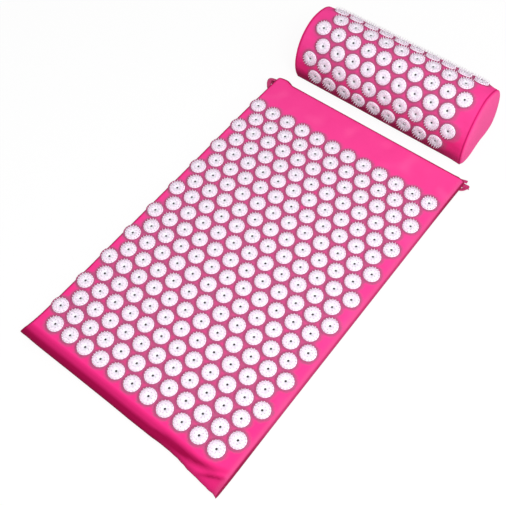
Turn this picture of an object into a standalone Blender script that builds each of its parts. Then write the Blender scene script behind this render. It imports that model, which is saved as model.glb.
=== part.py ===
"""Acupressure mat with its neck pillow, piece by piece at real size.

The mat is a foam slab in a zipped cloth cover, which carries staggered rows of spiked plastic
discs. The pillow is a foam half-round in a cover of the same cloth, with the same discs, and
stands just beyond the mat's head end.

Origin: centre of the mat's underside. +X runs across the mat, +Y along it towards the pillow,
+Z up. Everything is in metres.
"""

from math import asin, atan2, copysign, cos, hypot, pi, radians, sin

import bmesh
import bpy
from mathutils import Matrix, Vector

# Cloth and clearances
CLOTH = 0.0010
GAP = 0.0003
WELD = 0.000001
FLAT_ANGLE = radians(0.05)
CUT_OVERRUN = 0.002

# Mat and its cover
MAT_LENGTH = 0.6615
MAT_WIDTH = 0.406
MAT_THICKNESS = 0.020
SEAM_SHARE = 0.48
TOP_ROLL = 0.009
BASE_ROLL = 0.006
ROLL_POWER = 2.4
BASE_CUT = 0.0005
SIDE_DRAW_IN = 0.002
HEAD_DRAW_IN = 0.004
DRAW_POWER = 6
FOOT_LEFT_TIP = (-0.0060, 0.0020)
FOOT_RIGHT_TIP = (-0.0020, -0.0105)
TIP_POWER = 14
CREASE_DEPTH = 0.0015

# Spiked discs: one disc is a plate with its spikes, taken as one low drum
DISC_DIAMETER = 0.028
DISC_HEIGHT = 0.0075
SPIKE_LEAN = 0.0014
DISC_GAP = 0.005
DISC_SIDES = 10
ROW_SPACING_SHARE = 0.861
GLUE_BEAD = 0.0010
MAT_SIDE_MARGIN = 0.018
MAT_FOOT_MARGIN = 0.0429
MAT_HEAD_MARGIN = 0.075
MAT_FIELD_SHIFT = -0.0023

# Pillow and its cover
PILLOW_LENGTH = 0.366
PILLOW_DEPTH = 0.130
PILLOW_HEIGHT = 0.110
PILLOW_BELLY_SHARE = 0.305
PILLOW_BACK_POWER = 2.35
PILLOW_DOME = 0.010
DOME_POWER = 2.5
PILLOW_STANDOFF = 0.0306
PILLOW_SHIFT = -0.0068
PILLOW_DISC_GAP = 0.0041
PILLOW_END_MARGIN = 0.020
PILLOW_FIRST_ROW = radians(0)
PILLOW_LAST_ROW = radians(150)

# Zips
MAT_ZIP_MARGIN = 0.023
PILLOW_ZIP_MARGIN = 0.033
MAT_TAPE_TAIL = 0.009
PILLOW_TAPE_TAIL = 0.010
COIL_WIDTH = 0.0044
COIL_DEPTH = 0.0016
TAPE_REACH = 0.0066
TAPE_THICKNESS = 0.0006
STOP_LENGTH = 0.003
STOP_DEPTH = 0.0020
SLIDER_LENGTH = 0.009
SLIDER_WALL = 0.0014
SLIDER_ROOF = 0.0012
SLIDER_EDGE = 0.0004
BRIDGE_LENGTH = 0.0064
BRIDGE_WIDTH = 0.0018
BRIDGE_WALL = 0.0010
PULL_LENGTH = 0.022
PULL_WIDTH = 0.007
PULL_THICKNESS = 0.0010
PULL_BAR = 0.0012
PULL_WINDOW_LENGTH = 0.0056
PULL_CORNER = 0.0022

# Places of grid lines, as shares of a roll's reach, of a length, or of a full height
ROLL_SHARES = (0.0, 0.03, 0.12, 0.28, 0.52, 1.0)
CREASE_SHARES = (1.15, 1.6, 2.05, 2.5, 2.95)
CREASE_DEPTH_SHARES = (0.0, 0.6, 1.0, 0.6, 0.0)
MAT_ACROSS_SHARES = (-0.55, 0.0, 0.55)
MAT_ALONG_SHARES = (-0.8, -0.5, -0.2, 0.1, 0.4, 0.7)
DOME_SHARES = (1.0, 0.992, 0.96, 0.88, 0.7, 0.4, 0.0)
DOME_CENTRE_SHARE = 0.12
CORE_INSET_SHARE = 0.6
CORE_CROWN_SHARE = 0.3
ARCH_STEPS = 22
HEEL_STEPS = 5
BASE_STEPS = 4
TAPE_STEPS = 3

# Colours, roughness and metallic value of each stuff
PINK_CLOTH = ((0.90, 0.035, 0.235, 1.0), 0.85, 0.0)
WHITE_PLASTIC = ((0.86, 0.86, 0.87, 1.0), 0.28, 0.0)
PALE_FOAM = ((0.80, 0.76, 0.62, 1.0), 0.95, 0.0)
PINK_NYLON = ((0.80, 0.030, 0.200, 1.0), 0.55, 0.0)
ZINC = ((0.72, 0.72, 0.74, 1.0), 0.30, 1.0)

# Sizes that follow from the driving ones
SEAM_HEIGHT = MAT_THICKNESS * SEAM_SHARE
PILLOW_BELLY = PILLOW_HEIGHT * PILLOW_BELLY_SHARE
PILLOW_HALF_DEPTH = PILLOW_DEPTH / 2
PILLOW_RISE = PILLOW_HEIGHT - PILLOW_BELLY
PILLOW_SEAM_HALF = PILLOW_LENGTH / 2 - PILLOW_DOME
PILLOW_Y = MAT_LENGTH / 2 + PILLOW_STANDOFF + PILLOW_HALF_DEPTH
MAT_ZIP_LENGTH = MAT_WIDTH - 2 * MAT_ZIP_MARGIN
PILLOW_ZIP_LENGTH = 2 * (PILLOW_SEAM_HALF - PILLOW_ZIP_MARGIN)


# Scene, materials and objects
def clear_scene():
    for thing in list(bpy.data.objects):
        bpy.data.objects.remove(thing, do_unlink=True)


def new_collection(name):
    group = bpy.data.collections.new(name)
    bpy.context.scene.collection.children.link(group)
    return group


def new_material(name, finish):
    colour, roughness, metallic = finish
    stuff = bpy.data.materials.new(name)
    stuff.use_nodes = True
    shader = stuff.node_tree.nodes["Principled BSDF"]
    shader.inputs["Base Color"].default_value = colour
    shader.inputs["Roughness"].default_value = roughness
    shader.inputs["Metallic"].default_value = metallic
    return stuff


def add_axis(name, place, group):
    """An empty that carries the pieces which share its origin."""
    axis = bpy.data.objects.new(name, None)
    axis.location = place
    group.objects.link(axis)
    return axis


def add_piece(name, bm, finish, group, parent, place=(0, 0, 0), turn=(0, 0, 0)):
    mesh = bpy.data.meshes.new(name)
    bm.to_mesh(mesh)
    bm.free()
    mesh.materials.append(new_material(name + "_finish", finish))
    piece = bpy.data.objects.new(name, mesh)
    piece.location = place
    piece.rotation_euler = turn
    piece.parent = parent
    group.objects.link(piece)
    return piece


def add_cutter(name, bm, group, parent, place=(0, 0, 0)):
    mesh = bpy.data.meshes.new(name)
    bm.to_mesh(mesh)
    bm.free()
    cutter = bpy.data.objects.new(name, mesh)
    cutter.location = place
    cutter.parent = parent
    cutter.hide_render = True
    cutter.display_type = "WIRE"
    group.objects.link(cutter)
    return cutter


def add_boolean(piece, operation, operand):
    step = piece.modifiers.new(operand.name, "BOOLEAN")
    step.operation = operation
    step.solver = "EXACT"
    step.object = operand


# Solids made from plain shapes
def block(low, high):
    """A box between two corners."""
    low, high = Vector(low), Vector(high)
    bm = bmesh.new()
    place = Matrix.Translation((low + high) / 2) @ Matrix.Diagonal((high - low).to_4d())
    bmesh.ops.create_cube(bm, size=1.0, matrix=place)
    return bm


def sheet_between(across, along, outer, inner):
    """A closed sheet between two surfaces; each gives the point of a grid column and row."""
    bm = bmesh.new()
    columns, rows = len(across) - 1, len(along) - 1
    for surface in (outer, inner):
        grid = bmesh.ops.create_grid(bm, x_segments=columns, y_segments=rows, size=1.0)
        for vert in grid["verts"]:
            column = round((vert.co.x + 1) * columns / 2)
            row = round((vert.co.y + 1) * rows / 2)
            vert.co = surface(across[column], along[row])
        bmesh.ops.remove_doubles(bm, verts=grid["verts"], dist=WELD)
        bmesh.ops.reverse_faces(bm, faces=bm.faces[:])
    rims = [edge for edge in bm.edges if edge.is_boundary]
    edges = [edge for edge in bm.edges if not edge.is_boundary]
    verts = [vert for vert in bm.verts if not vert.is_boundary]
    bmesh.ops.bridge_loops(bm, edges=rims)
    bmesh.ops.dissolve_limit(bm, angle_limit=FLAT_ANGLE, verts=verts, edges=edges)
    bmesh.ops.recalc_face_normals(bm, faces=bm.faces[:])
    if bm.calc_volume(signed=True) < 0:
        bmesh.ops.reverse_faces(bm, faces=bm.faces[:])
    return bm


# Form of the mat's cover
def roll_rise(share):
    """Share of the full height that a rounded edge has at a share of its reach."""
    if share >= 1:
        return 1.0
    return (1 - (1 - share) ** ROLL_POWER) ** (1 / ROLL_POWER)


def roll_inset(height, full, reach):
    """How far a rounded edge stands in at a height, the other way round."""
    return reach * (1 - (1 - (height / full) ** ROLL_POWER) ** (1 / ROLL_POWER))


def grid_lines(low_shares, inner_shares):
    """Lines counted from the low edge, then between the edges, then from the high edge."""
    low = [("low", share) for share in low_shares]
    inner = [("inner", share) for share in inner_shares]
    high = [("high", share) for share in reversed(ROLL_SHARES)]
    return low + inner + high


def line_place(line, half, reach):
    side, share = line
    if side == "inner":
        return share * (half - reach)
    inset = half - share * reach
    return inset if side == "high" else -inset


def line_rise(line):
    side, share = line
    return 1.0 if side == "inner" else roll_rise(share)


def crease(line, x):
    """Depth of the soft crease along the foot end, deeper towards the right."""
    side, share = line
    if side != "low" or share not in CREASE_SHARES:
        return 0.0
    depth = CREASE_DEPTH * CREASE_DEPTH_SHARES[CREASE_SHARES.index(share)]
    return depth * (1 + x / MAT_WIDTH)


def cover_plan(x, y):
    """Moves a point of the straight outline to the drawn-in one with its foot corner tips."""
    side = abs(x) * 2 / MAT_WIDTH
    end = y * 2 / MAT_LENGTH
    corner = (side * max(0.0, -end)) ** TIP_POWER
    tip_x, tip_y = FOOT_RIGHT_TIP if x > 0 else FOOT_LEFT_TIP
    draw = SIDE_DRAW_IN * (1 - abs(end) ** DRAW_POWER)
    draw += HEAD_DRAW_IN * max(0.0, end) ** DRAW_POWER
    draw *= side ** DRAW_POWER
    outward = 1 if x > 0 else -1
    return x - outward * draw + corner * tip_x, y + corner * tip_y


def mat_panel(roll, rise_height, point_height, crease_scale):
    """One half of the mat's cover, from the seam round the side to its flat middle."""
    across = grid_lines(ROLL_SHARES, MAT_ACROSS_SHARES)
    along = grid_lines(ROLL_SHARES + CREASE_SHARES, MAT_ALONG_SHARES)

    def surface(inset):
        def point(column, row):
            x = line_place(column, MAT_WIDTH / 2 - inset, roll - inset)
            y = line_place(row, MAT_LENGTH / 2 - inset, roll - inset)
            rise = (rise_height - inset) * line_rise(column) * line_rise(row)
            rise -= crease_scale * crease(row, x) * line_rise(column)
            return Vector((*cover_plan(x, y), point_height(rise, inset)))
        return point

    return sheet_between(across, along, surface(0.0), surface(CLOTH))


def mat_top_panel():
    rim = SEAM_HEIGHT + GAP / 2
    full = MAT_THICKNESS - rim

    def height(rise, inset):
        return rim + rise

    return mat_panel(TOP_ROLL, full, height, 1.0)


def mat_base_panel():
    rim = SEAM_HEIGHT - GAP / 2

    def height(rise, inset):
        return max(inset, rim - rise)

    return mat_panel(BASE_ROLL, rim + BASE_CUT, height, 0.0)


def mat_core():
    """The foam slab, clear of the cover's rounded sides."""
    skin = CLOTH + GAP
    bevel = TOP_ROLL / 2
    half_x = MAT_WIDTH / 2 - max(SIDE_DRAW_IN, HEAD_DRAW_IN) - skin - bevel
    half_y = MAT_LENGTH / 2 - skin - bevel
    top = MAT_THICKNESS - CREASE_DEPTH * (1 + half_x / MAT_WIDTH) - skin
    bm = block((-half_x, -half_y, skin), (half_x, half_y, top))
    corners = [edge for edge in bm.edges if edge.verts[0].co.z != edge.verts[1].co.z]
    bmesh.ops.bevel(bm, geom=corners, offset=TOP_ROLL, segments=3, profile=0.5,
                    affect="EDGES", material=-1)
    rims = [edge for edge in bm.edges if edge.verts[0].co.z == edge.verts[1].co.z]
    bmesh.ops.bevel(bm, geom=rims, offset=bevel, segments=2, profile=0.5,
                    affect="EDGES", material=-1)
    return bm


# Discs
def disc_row(count, pitch):
    """A row of discs, joined by the thin bead of hot-melt glue that they are set in."""
    bm = bmesh.new()
    radius = DISC_DIAMETER / 2
    face_turn = Matrix.Rotation(pi / DISC_SIDES, 4, "Z")
    face_reach = cos(pi / DISC_SIDES)
    bead_radius = radius - SPIKE_LEAN * GLUE_BEAD / DISC_HEIGHT
    mouths = []
    for index in range(count):
        x = (index - (count - 1) / 2) * pitch
        place = Matrix.Translation((x, 0, DISC_HEIGHT / 2))
        disc = bmesh.ops.create_cone(bm, cap_ends=True, segments=DISC_SIDES, radius1=radius,
                                     radius2=radius - SPIKE_LEAN, depth=DISC_HEIGHT,
                                     matrix=place @ face_turn)
        faces = {face for vert in disc["verts"] for face in vert.link_faces}
        walls = sorted(faces, key=lambda face: face.calc_center_median().x)
        for side, wall in ((-1, walls[0]), (1, walls[-1])):
            if index == (0 if side < 0 else count - 1):
                continue
            poked = bmesh.ops.poke(bm, faces=[wall])
            apex = poked["verts"][0]
            apex.co = (x + side * bead_radius * face_reach, 0, GLUE_BEAD)
            mouth = min(poked["faces"], key=lambda item: sum(vert.co.z for vert in item.verts))
            mouths.append(list(mouth.edges))
            bmesh.ops.delete(bm, geom=[mouth], context="FACES_ONLY")
    for left, right in zip(mouths[0::2], mouths[1::2]):
        bmesh.ops.bridge_loops(bm, edges=left + right)
    bmesh.ops.recalc_face_normals(bm, faces=bm.faces[:])
    return bm


def discs_that_fit(room, pitch):
    return int(room / pitch) + 1


def add_mat_discs(group, parent):
    pitch = DISC_DIAMETER + DISC_GAP
    row_pitch = pitch * ROW_SPACING_SHARE
    rows = discs_that_fit(MAT_LENGTH - MAT_HEAD_MARGIN - MAT_FOOT_MARGIN, row_pitch)
    longest = discs_that_fit(MAT_WIDTH - 2 * MAT_SIDE_MARGIN, pitch)
    first_y = -MAT_LENGTH / 2 + MAT_FOOT_MARGIN
    for index in range(rows):
        from_head = rows - index
        count = longest - (1 - index % 2)
        add_piece(f"mat_disc_row_{from_head:02d}", disc_row(count, pitch), WHITE_PLASTIC, group,
                  parent, (MAT_FIELD_SHIFT, first_y + index * row_pitch, MAT_THICKNESS + GAP))


def add_pillow_discs(group, parent):
    pitch = DISC_DIAMETER + PILLOW_DISC_GAP
    tightest = min(PILLOW_HALF_DEPTH, PILLOW_RISE)
    step = pitch * ROW_SPACING_SHARE / tightest
    rows = discs_that_fit(PILLOW_LAST_ROW - PILLOW_FIRST_ROW, step)
    longest = discs_that_fit(2 * (PILLOW_SEAM_HALF - PILLOW_END_MARGIN), pitch)
    for index in range(rows):
        angle = PILLOW_FIRST_ROW + index * step
        y, z = arch_point(angle, -GAP)
        count = longest - (1 - index % 2)
        add_piece(f"pillow_disc_row_{index + 1}", disc_row(count, pitch), WHITE_PLASTIC, group,
                  parent, (0, y, z), (arch_lean(angle), 0, 0))


# Form of the pillow
def arch_power(angle):
    """2 is an ellipse; the back is fuller than that, above the belly."""
    return PILLOW_BACK_POWER if pi / 2 < angle < pi else 2


def signed_power(value, power):
    return copysign(abs(value) ** power, value)


def arch_point(angle, inset):
    """Point of the pillow's arch; the angle starts at the front, level with the belly."""
    power = 2 / arch_power(angle)
    y = -(PILLOW_HALF_DEPTH - inset) * signed_power(cos(angle), power)
    z = PILLOW_BELLY + (PILLOW_RISE - inset) * signed_power(sin(angle), power)
    return y, z


def arch_lean(angle):
    """How far the outward direction of the arch leans from upright at an angle."""
    power = 2 - 2 / arch_power(angle)
    return atan2(signed_power(cos(angle), power) / PILLOW_HALF_DEPTH,
                 signed_power(sin(angle), power) / PILLOW_RISE)


def arch_angle(height, inset):
    """Angle, below the belly at the front, at which the arch has a height."""
    return asin((height - PILLOW_BELLY) / (PILLOW_RISE - inset))


def arch_line(start, end, steps, inset):
    angles = [start + (end - start) * step / steps for step in range(steps + 1)]
    return [arch_point(angle, inset) for angle in angles]


def swept_sheet(outer_line, inner_line):
    """A sheet that keeps this section from one sewn end of the pillow to the other."""
    def surface(line):
        def point(x, step):
            return Vector((x, *line[step]))
        return point

    ends = (-PILLOW_SEAM_HALF, PILLOW_SEAM_HALF)
    steps = list(range(len(outer_line)))
    return sheet_between(ends, steps, surface(outer_line), surface(inner_line))


def pillow_arch_panel():
    rim = CLOTH + GAP
    lines = []
    for inset in (0.0, CLOTH):
        back = pi - asin((GAP / 2 / (PILLOW_RISE - inset)) ** (PILLOW_BACK_POWER / 2))
        lines.append(arch_line(arch_angle(rim, inset), back, ARCH_STEPS, inset))
    return swept_sheet(*lines)


def pillow_base_panel():
    """Flat underside, turned up at the back as far as the zip."""
    lines = []
    for inset in (0.0, CLOTH):
        front = arch_angle(inset, inset)
        back = pi + asin(GAP / 2 / (PILLOW_RISE - inset))
        heel = arch_line(pi - front, back, HEEL_STEPS, inset)
        end_y = heel[0][0]
        floor = [(end_y * (2 * step / BASE_STEPS - 1), inset) for step in range(BASE_STEPS)]
        lines.append(floor + heel)
    return swept_sheet(*lines)


def end_outline(inset):
    """The pillow's closed section: up the front, over, down the back, and along the base."""
    front = arch_angle(inset, inset)
    arch = arch_line(front, pi - front, ARCH_STEPS, inset)
    end_y = arch[-1][0]
    base = [(end_y * (1 - 2 * step / BASE_STEPS), inset) for step in range(1, BASE_STEPS)]
    return arch + base + arch[:1]


def pillow_end_panel(side):
    """Domed end, from the seam to its middle, on one side of the pillow."""
    start = PILLOW_SEAM_HALF + GAP
    centre_z = PILLOW_HEIGHT * DOME_CENTRE_SHARE

    def surface(inset):
        outline = end_outline(inset)

        def point(step, share):
            y, z = outline[step]
            rise = (1 - share ** DOME_POWER) ** (1 / DOME_POWER)
            x = start + (PILLOW_DOME - GAP - inset) * rise
            return Vector((side * x, y * share, centre_z + (z - centre_z) * share))
        return point

    steps = list(range(len(end_outline(0.0))))
    return sheet_between(steps, DOME_SHARES, surface(0.0), surface(CLOTH))


def pillow_core():
    """Foam half-round, with its end edges rounded off."""
    skin = CLOTH + GAP
    outline = end_outline(skin)[:-1]
    bm = bmesh.new()
    ring = bmesh.ops.create_circle(bm, segments=len(outline), radius=1.0, cap_ends=True)["verts"]
    for vert, (y, z) in zip(ring, outline):
        vert.co = (-PILLOW_SEAM_HALF, y, z)
    made = bmesh.ops.extrude_face_region(bm, geom=bm.faces[:])
    for item in made["geom"]:
        if isinstance(item, bmesh.types.BMVert):
            item.co.x = PILLOW_SEAM_HALF
    bmesh.ops.recalc_face_normals(bm, faces=bm.faces[:])
    caps = [face for face in bm.faces if len(face.verts) == len(outline)]
    for cap in caps:
        side = 1 if cap.calc_center_median().x > 0 else -1
        bmesh.ops.inset_region(bm, faces=[cap], thickness=PILLOW_DOME * CORE_INSET_SHARE)
        for vert in cap.verts:
            vert.co.x += side * PILLOW_DOME * CORE_CROWN_SHARE
    return bm


# Zips
def zip_tape(length, tail, side, inset_at):
    """One tape of a zip, lying on the cover; inset_at gives how far the cover stands in."""
    half = length / 2 + tail
    near = COIL_WIDTH / 2 + GAP
    heights = [near + (TAPE_REACH - near) * step / TAPE_STEPS for step in range(TAPE_STEPS + 1)]

    def surface(offset):
        def point(x, height):
            return Vector((x, offset - inset_at(height), side * height))
        return point

    return sheet_between((-half, half), heights, surface(GAP + TAPE_THICKNESS), surface(GAP))


def zip_coil(length):
    bm = block((-length / 2, GAP, -COIL_WIDTH / 2), (length / 2, GAP + COIL_DEPTH, COIL_WIDTH / 2))
    outer = [edge for edge in bm.edges
             if all(vert.co.y > COIL_DEPTH for vert in edge.verts)
             and edge.verts[0].co.z == edge.verts[1].co.z]
    bmesh.ops.bevel(bm, geom=outer, offset=COIL_DEPTH / 2, segments=3, profile=0.5,
                    affect="EDGES", material=-1)
    return bm


def zip_stop():
    bm = block((-STOP_LENGTH / 2, GAP, -COIL_WIDTH / 2), (STOP_LENGTH / 2, GAP + STOP_DEPTH,
                                                         COIL_WIDTH / 2))
    bmesh.ops.bevel(bm, geom=bm.edges[:], offset=SLIDER_EDGE, segments=1, profile=0.5,
                    affect="EDGES", material=-1)
    return bm


def slider_roof():
    """Height of the slider's outer face above the cover."""
    return GAP + COIL_DEPTH + GAP + SLIDER_ROOF


def pull_axis_height():
    """Height of the pull's hinge above the cover, with the pull clear of the slider."""
    corner = hypot(PULL_BAR, PULL_THICKNESS) / 2
    return slider_roof() + corner + GAP


def add_slider(name, group, cutters, parent, place):
    half_channel = COIL_WIDTH / 2 + GAP
    half_width = half_channel + SLIDER_WALL
    foot = GAP + TAPE_THICKNESS + GAP
    bm = block((-SLIDER_LENGTH / 2, foot, -half_width), (SLIDER_LENGTH / 2, slider_roof(),
                                                         half_width))
    uprights = [edge for edge in bm.edges if edge.verts[0].co.y != edge.verts[1].co.y]
    bmesh.ops.bevel(bm, geom=uprights, offset=SLIDER_WALL, segments=2, profile=0.5,
                    affect="EDGES", material=-1)
    slider = add_piece(name, bm, ZINC, group, parent, place)
    channel = block((-SLIDER_LENGTH / 2 - CUT_OVERRUN, foot - CUT_OVERRUN, -half_channel),
                    (SLIDER_LENGTH / 2 + CUT_OVERRUN, slider_roof() - SLIDER_ROOF, half_channel))
    window_top = 2 * pull_axis_height() - slider_roof()
    bridge = block((-BRIDGE_LENGTH / 2, slider_roof() - SLIDER_ROOF / 2, -BRIDGE_WIDTH / 2),
                   (BRIDGE_LENGTH / 2, window_top + BRIDGE_WALL, BRIDGE_WIDTH / 2))
    window = block((BRIDGE_WALL - BRIDGE_LENGTH / 2, slider_roof(), -BRIDGE_WIDTH),
                   (BRIDGE_LENGTH / 2 - BRIDGE_WALL, window_top, BRIDGE_WIDTH))
    add_boolean(slider, "DIFFERENCE", add_cutter(name + "_channel", channel, cutters, parent, place))
    add_boolean(slider, "UNION", add_cutter(name + "_bridge", bridge, cutters, parent, place))
    add_boolean(slider, "DIFFERENCE", add_cutter(name + "_window", window, cutters, parent, place))


def add_pull(name, group, cutters, parent, place):
    """The pull lies towards -X; its origin is on its hinge, which runs along Z."""
    half_bar = PULL_BAR / 2
    bm = block((half_bar - PULL_LENGTH, -PULL_THICKNESS / 2, -PULL_WIDTH / 2),
               (half_bar, PULL_THICKNESS / 2, PULL_WIDTH / 2))
    far = [edge for edge in bm.edges
           if edge.verts[0].co.y != edge.verts[1].co.y and edge.verts[0].co.x < 0]
    bmesh.ops.bevel(bm, geom=far, offset=PULL_CORNER, segments=3, profile=0.5,
                    affect="EDGES", material=-1)
    pull = add_piece(name, bm, ZINC, group, parent, place)
    half_window = BRIDGE_WIDTH / 2 + 2 * GAP
    window = block((-half_bar - PULL_WINDOW_LENGTH, -PULL_THICKNESS, -half_window),
                   (-half_bar, PULL_THICKNESS, half_window))
    add_boolean(pull, "DIFFERENCE", add_cutter(name + "_window", window, cutters, parent, place))


def add_zip(prefix, length, tail, upper_inset, lower_inset, groups, parent, place):
    """A zip along X on a face that looks towards +Y, closed, with its slider at the left."""
    group, cutters = groups
    axis = add_axis(prefix + "_axis", place, group)
    axis.parent = parent
    stop_x = length / 2 + GAP + STOP_LENGTH / 2
    add_piece(prefix + "_tape_upper", zip_tape(length, tail, 1, upper_inset), PINK_CLOTH, group, axis)
    add_piece(prefix + "_tape_lower", zip_tape(length, tail, -1, lower_inset), PINK_CLOTH, group, axis)
    add_piece(prefix + "_coil", zip_coil(length), PINK_NYLON, group, axis)
    add_piece(prefix + "_top_stop", zip_stop(), ZINC, group, axis, (-stop_x, 0, 0))
    add_piece(prefix + "_bottom_stop", zip_stop(), ZINC, group, axis, (stop_x, 0, 0))
    slider_x = (SLIDER_LENGTH - length) / 2
    add_slider(prefix + "_slider", group, cutters, axis, (slider_x, 0, 0))
    add_pull(prefix + "_pull", group, cutters, axis, (slider_x, pull_axis_height(), 0))


# Mat and pillow put together
def add_mat(groups):
    group = groups[0]
    axis = add_axis("mat_axis", (0, 0, 0), group)
    add_piece("mat_foam_core", mat_core(), PALE_FOAM, group, axis)
    add_piece("mat_top_panel", mat_top_panel(), PINK_CLOTH, group, axis)
    add_piece("mat_base_panel", mat_base_panel(), PINK_CLOTH, group, axis)
    add_mat_discs(group, axis)

    def upper_inset(height):
        return roll_inset(height, MAT_THICKNESS - SEAM_HEIGHT, TOP_ROLL)

    def lower_inset(height):
        return roll_inset(height, SEAM_HEIGHT + BASE_CUT, BASE_ROLL)

    add_zip("mat_zip", MAT_ZIP_LENGTH, MAT_ZIP_MARGIN + MAT_TAPE_TAIL, upper_inset, lower_inset,
            groups, axis, (0, MAT_LENGTH / 2, SEAM_HEIGHT))


def add_pillow(groups):
    group = groups[0]
    axis = add_axis("pillow_axis", (PILLOW_SHIFT, PILLOW_Y, 0), group)
    add_piece("pillow_foam_core", pillow_core(), PALE_FOAM, group, axis)
    add_piece("pillow_arch_panel", pillow_arch_panel(), PINK_CLOTH, group, axis)
    add_piece("pillow_base_panel", pillow_base_panel(), PINK_CLOTH, group, axis)
    add_piece("pillow_end_panel_left", pillow_end_panel(-1), PINK_CLOTH, group, axis)
    add_piece("pillow_end_panel_right", pillow_end_panel(1), PINK_CLOTH, group, axis)
    add_pillow_discs(group, axis)

    def inset_with(power):
        def inset_at(height):
            share = (1 - (height / PILLOW_RISE) ** power) ** (1 / power)
            return PILLOW_HALF_DEPTH * (1 - share)
        return inset_at

    add_zip("pillow_zip", PILLOW_ZIP_LENGTH, PILLOW_TAPE_TAIL, inset_with(PILLOW_BACK_POWER),
            inset_with(2), groups, axis, (0, PILLOW_HALF_DEPTH, PILLOW_BELLY))


def main():
    clear_scene()
    groups = (new_collection("acupressure_mat"), new_collection("cutters"))
    add_mat(groups)
    add_pillow(groups)


main()
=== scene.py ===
# %% [markdown]
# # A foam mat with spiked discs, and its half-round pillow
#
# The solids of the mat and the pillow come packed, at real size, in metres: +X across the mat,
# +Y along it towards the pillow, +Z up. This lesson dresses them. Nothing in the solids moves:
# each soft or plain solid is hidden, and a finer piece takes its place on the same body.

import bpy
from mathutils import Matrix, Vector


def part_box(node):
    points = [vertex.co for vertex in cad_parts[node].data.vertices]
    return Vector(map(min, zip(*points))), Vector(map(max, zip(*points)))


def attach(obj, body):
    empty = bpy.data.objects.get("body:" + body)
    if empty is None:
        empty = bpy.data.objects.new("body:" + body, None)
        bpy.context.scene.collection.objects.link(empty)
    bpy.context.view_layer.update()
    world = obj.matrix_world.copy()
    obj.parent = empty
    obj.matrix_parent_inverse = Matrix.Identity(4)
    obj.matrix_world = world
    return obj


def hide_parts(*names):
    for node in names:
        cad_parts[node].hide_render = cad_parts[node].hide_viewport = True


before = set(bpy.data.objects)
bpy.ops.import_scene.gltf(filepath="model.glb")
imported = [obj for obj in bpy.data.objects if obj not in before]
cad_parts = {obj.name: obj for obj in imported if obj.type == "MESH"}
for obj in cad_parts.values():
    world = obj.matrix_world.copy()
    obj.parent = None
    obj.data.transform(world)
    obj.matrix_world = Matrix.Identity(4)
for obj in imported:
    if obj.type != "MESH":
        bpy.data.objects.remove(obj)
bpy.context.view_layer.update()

# %% [markdown]
# ## Tools
#
# Meshes are made with bmesh and its operators. The noise of mathutils gives the same bumps on
# each run, and a seeded random generator turns each disc its own way.

# %% Tools
import random
from math import asin, atan2, copysign, cos, exp, hypot, pi, radians, sin

import bmesh
import bpy
from mathutils import Matrix, Vector, noise
from mathutils.kdtree import KDTree

scene = bpy.context.scene


def link(name, data):
    """A new object with this data, at the origin."""
    made = bpy.data.objects.new(name, data)
    scene.collection.objects.link(made)
    return made


def mesh_of(name, bm, finish=None):
    """A mesh of what bmesh holds, with its finish."""
    mesh = bpy.data.meshes.new(name)
    bm.to_mesh(mesh)
    bm.free()
    if finish:
        mesh.materials.append(finish)
    return mesh


print("Blender", bpy.app.version_string)

# %% [markdown]
# ## Camera
#
# The picture looks down on the mat from beyond its right foot corner. The place, the turn and
# the lens were found by setting the disc centres of the solids on those of the picture.

# %% Camera
CAMERA_PLACE = (0.4693, -0.50255, 1.1643)
CAMERA_TURN = (30.84081369, 2.77699301, 38.26095168)

view = bpy.data.cameras.new("camera")
view.sensor_width = 36
view.lens = 58.105
camera = link("camera", view)
camera.location = CAMERA_PLACE
camera.rotation_euler = [radians(angle) for angle in CAMERA_TURN]
scene.camera = camera
print("lens", view.lens, "mm")

# %% [markdown]
# ## Shader maths
#
# A material is a small tree of nodes. Long trees are easier to read as sums, so one class wraps
# a socket, and each sum on it adds a Math node, also where the plain number comes first.


# %% Numbers that change over a surface
class Amount:
    """A socket with a number that changes over a surface."""

    def __init__(self, finish, socket):
        self.finish = finish
        self.socket = socket

    def __add__(self, other):
        return self.finish.math("ADD", self, other)

    def __sub__(self, other):
        return self.finish.math("SUBTRACT", self, other)

    def __rsub__(self, other):
        return self.finish.math("SUBTRACT", other, self)

    def __mul__(self, other):
        return self.finish.math("MULTIPLY", self, other)

    __radd__ = __add__
    __rmul__ = __mul__

    def sine(self):
        return self.finish.math("SINE", self)


print("sums on", Amount.__name__, "become Math nodes")

# %% [markdown]
# ## Trees of nodes
#
# A second class makes every other kind of node with one method: settings first, then values or
# links. Its other methods are short ways to what the finishes of this lesson need most.

# %% Trees of nodes
CLOTH_MAP = "cloth"


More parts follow.
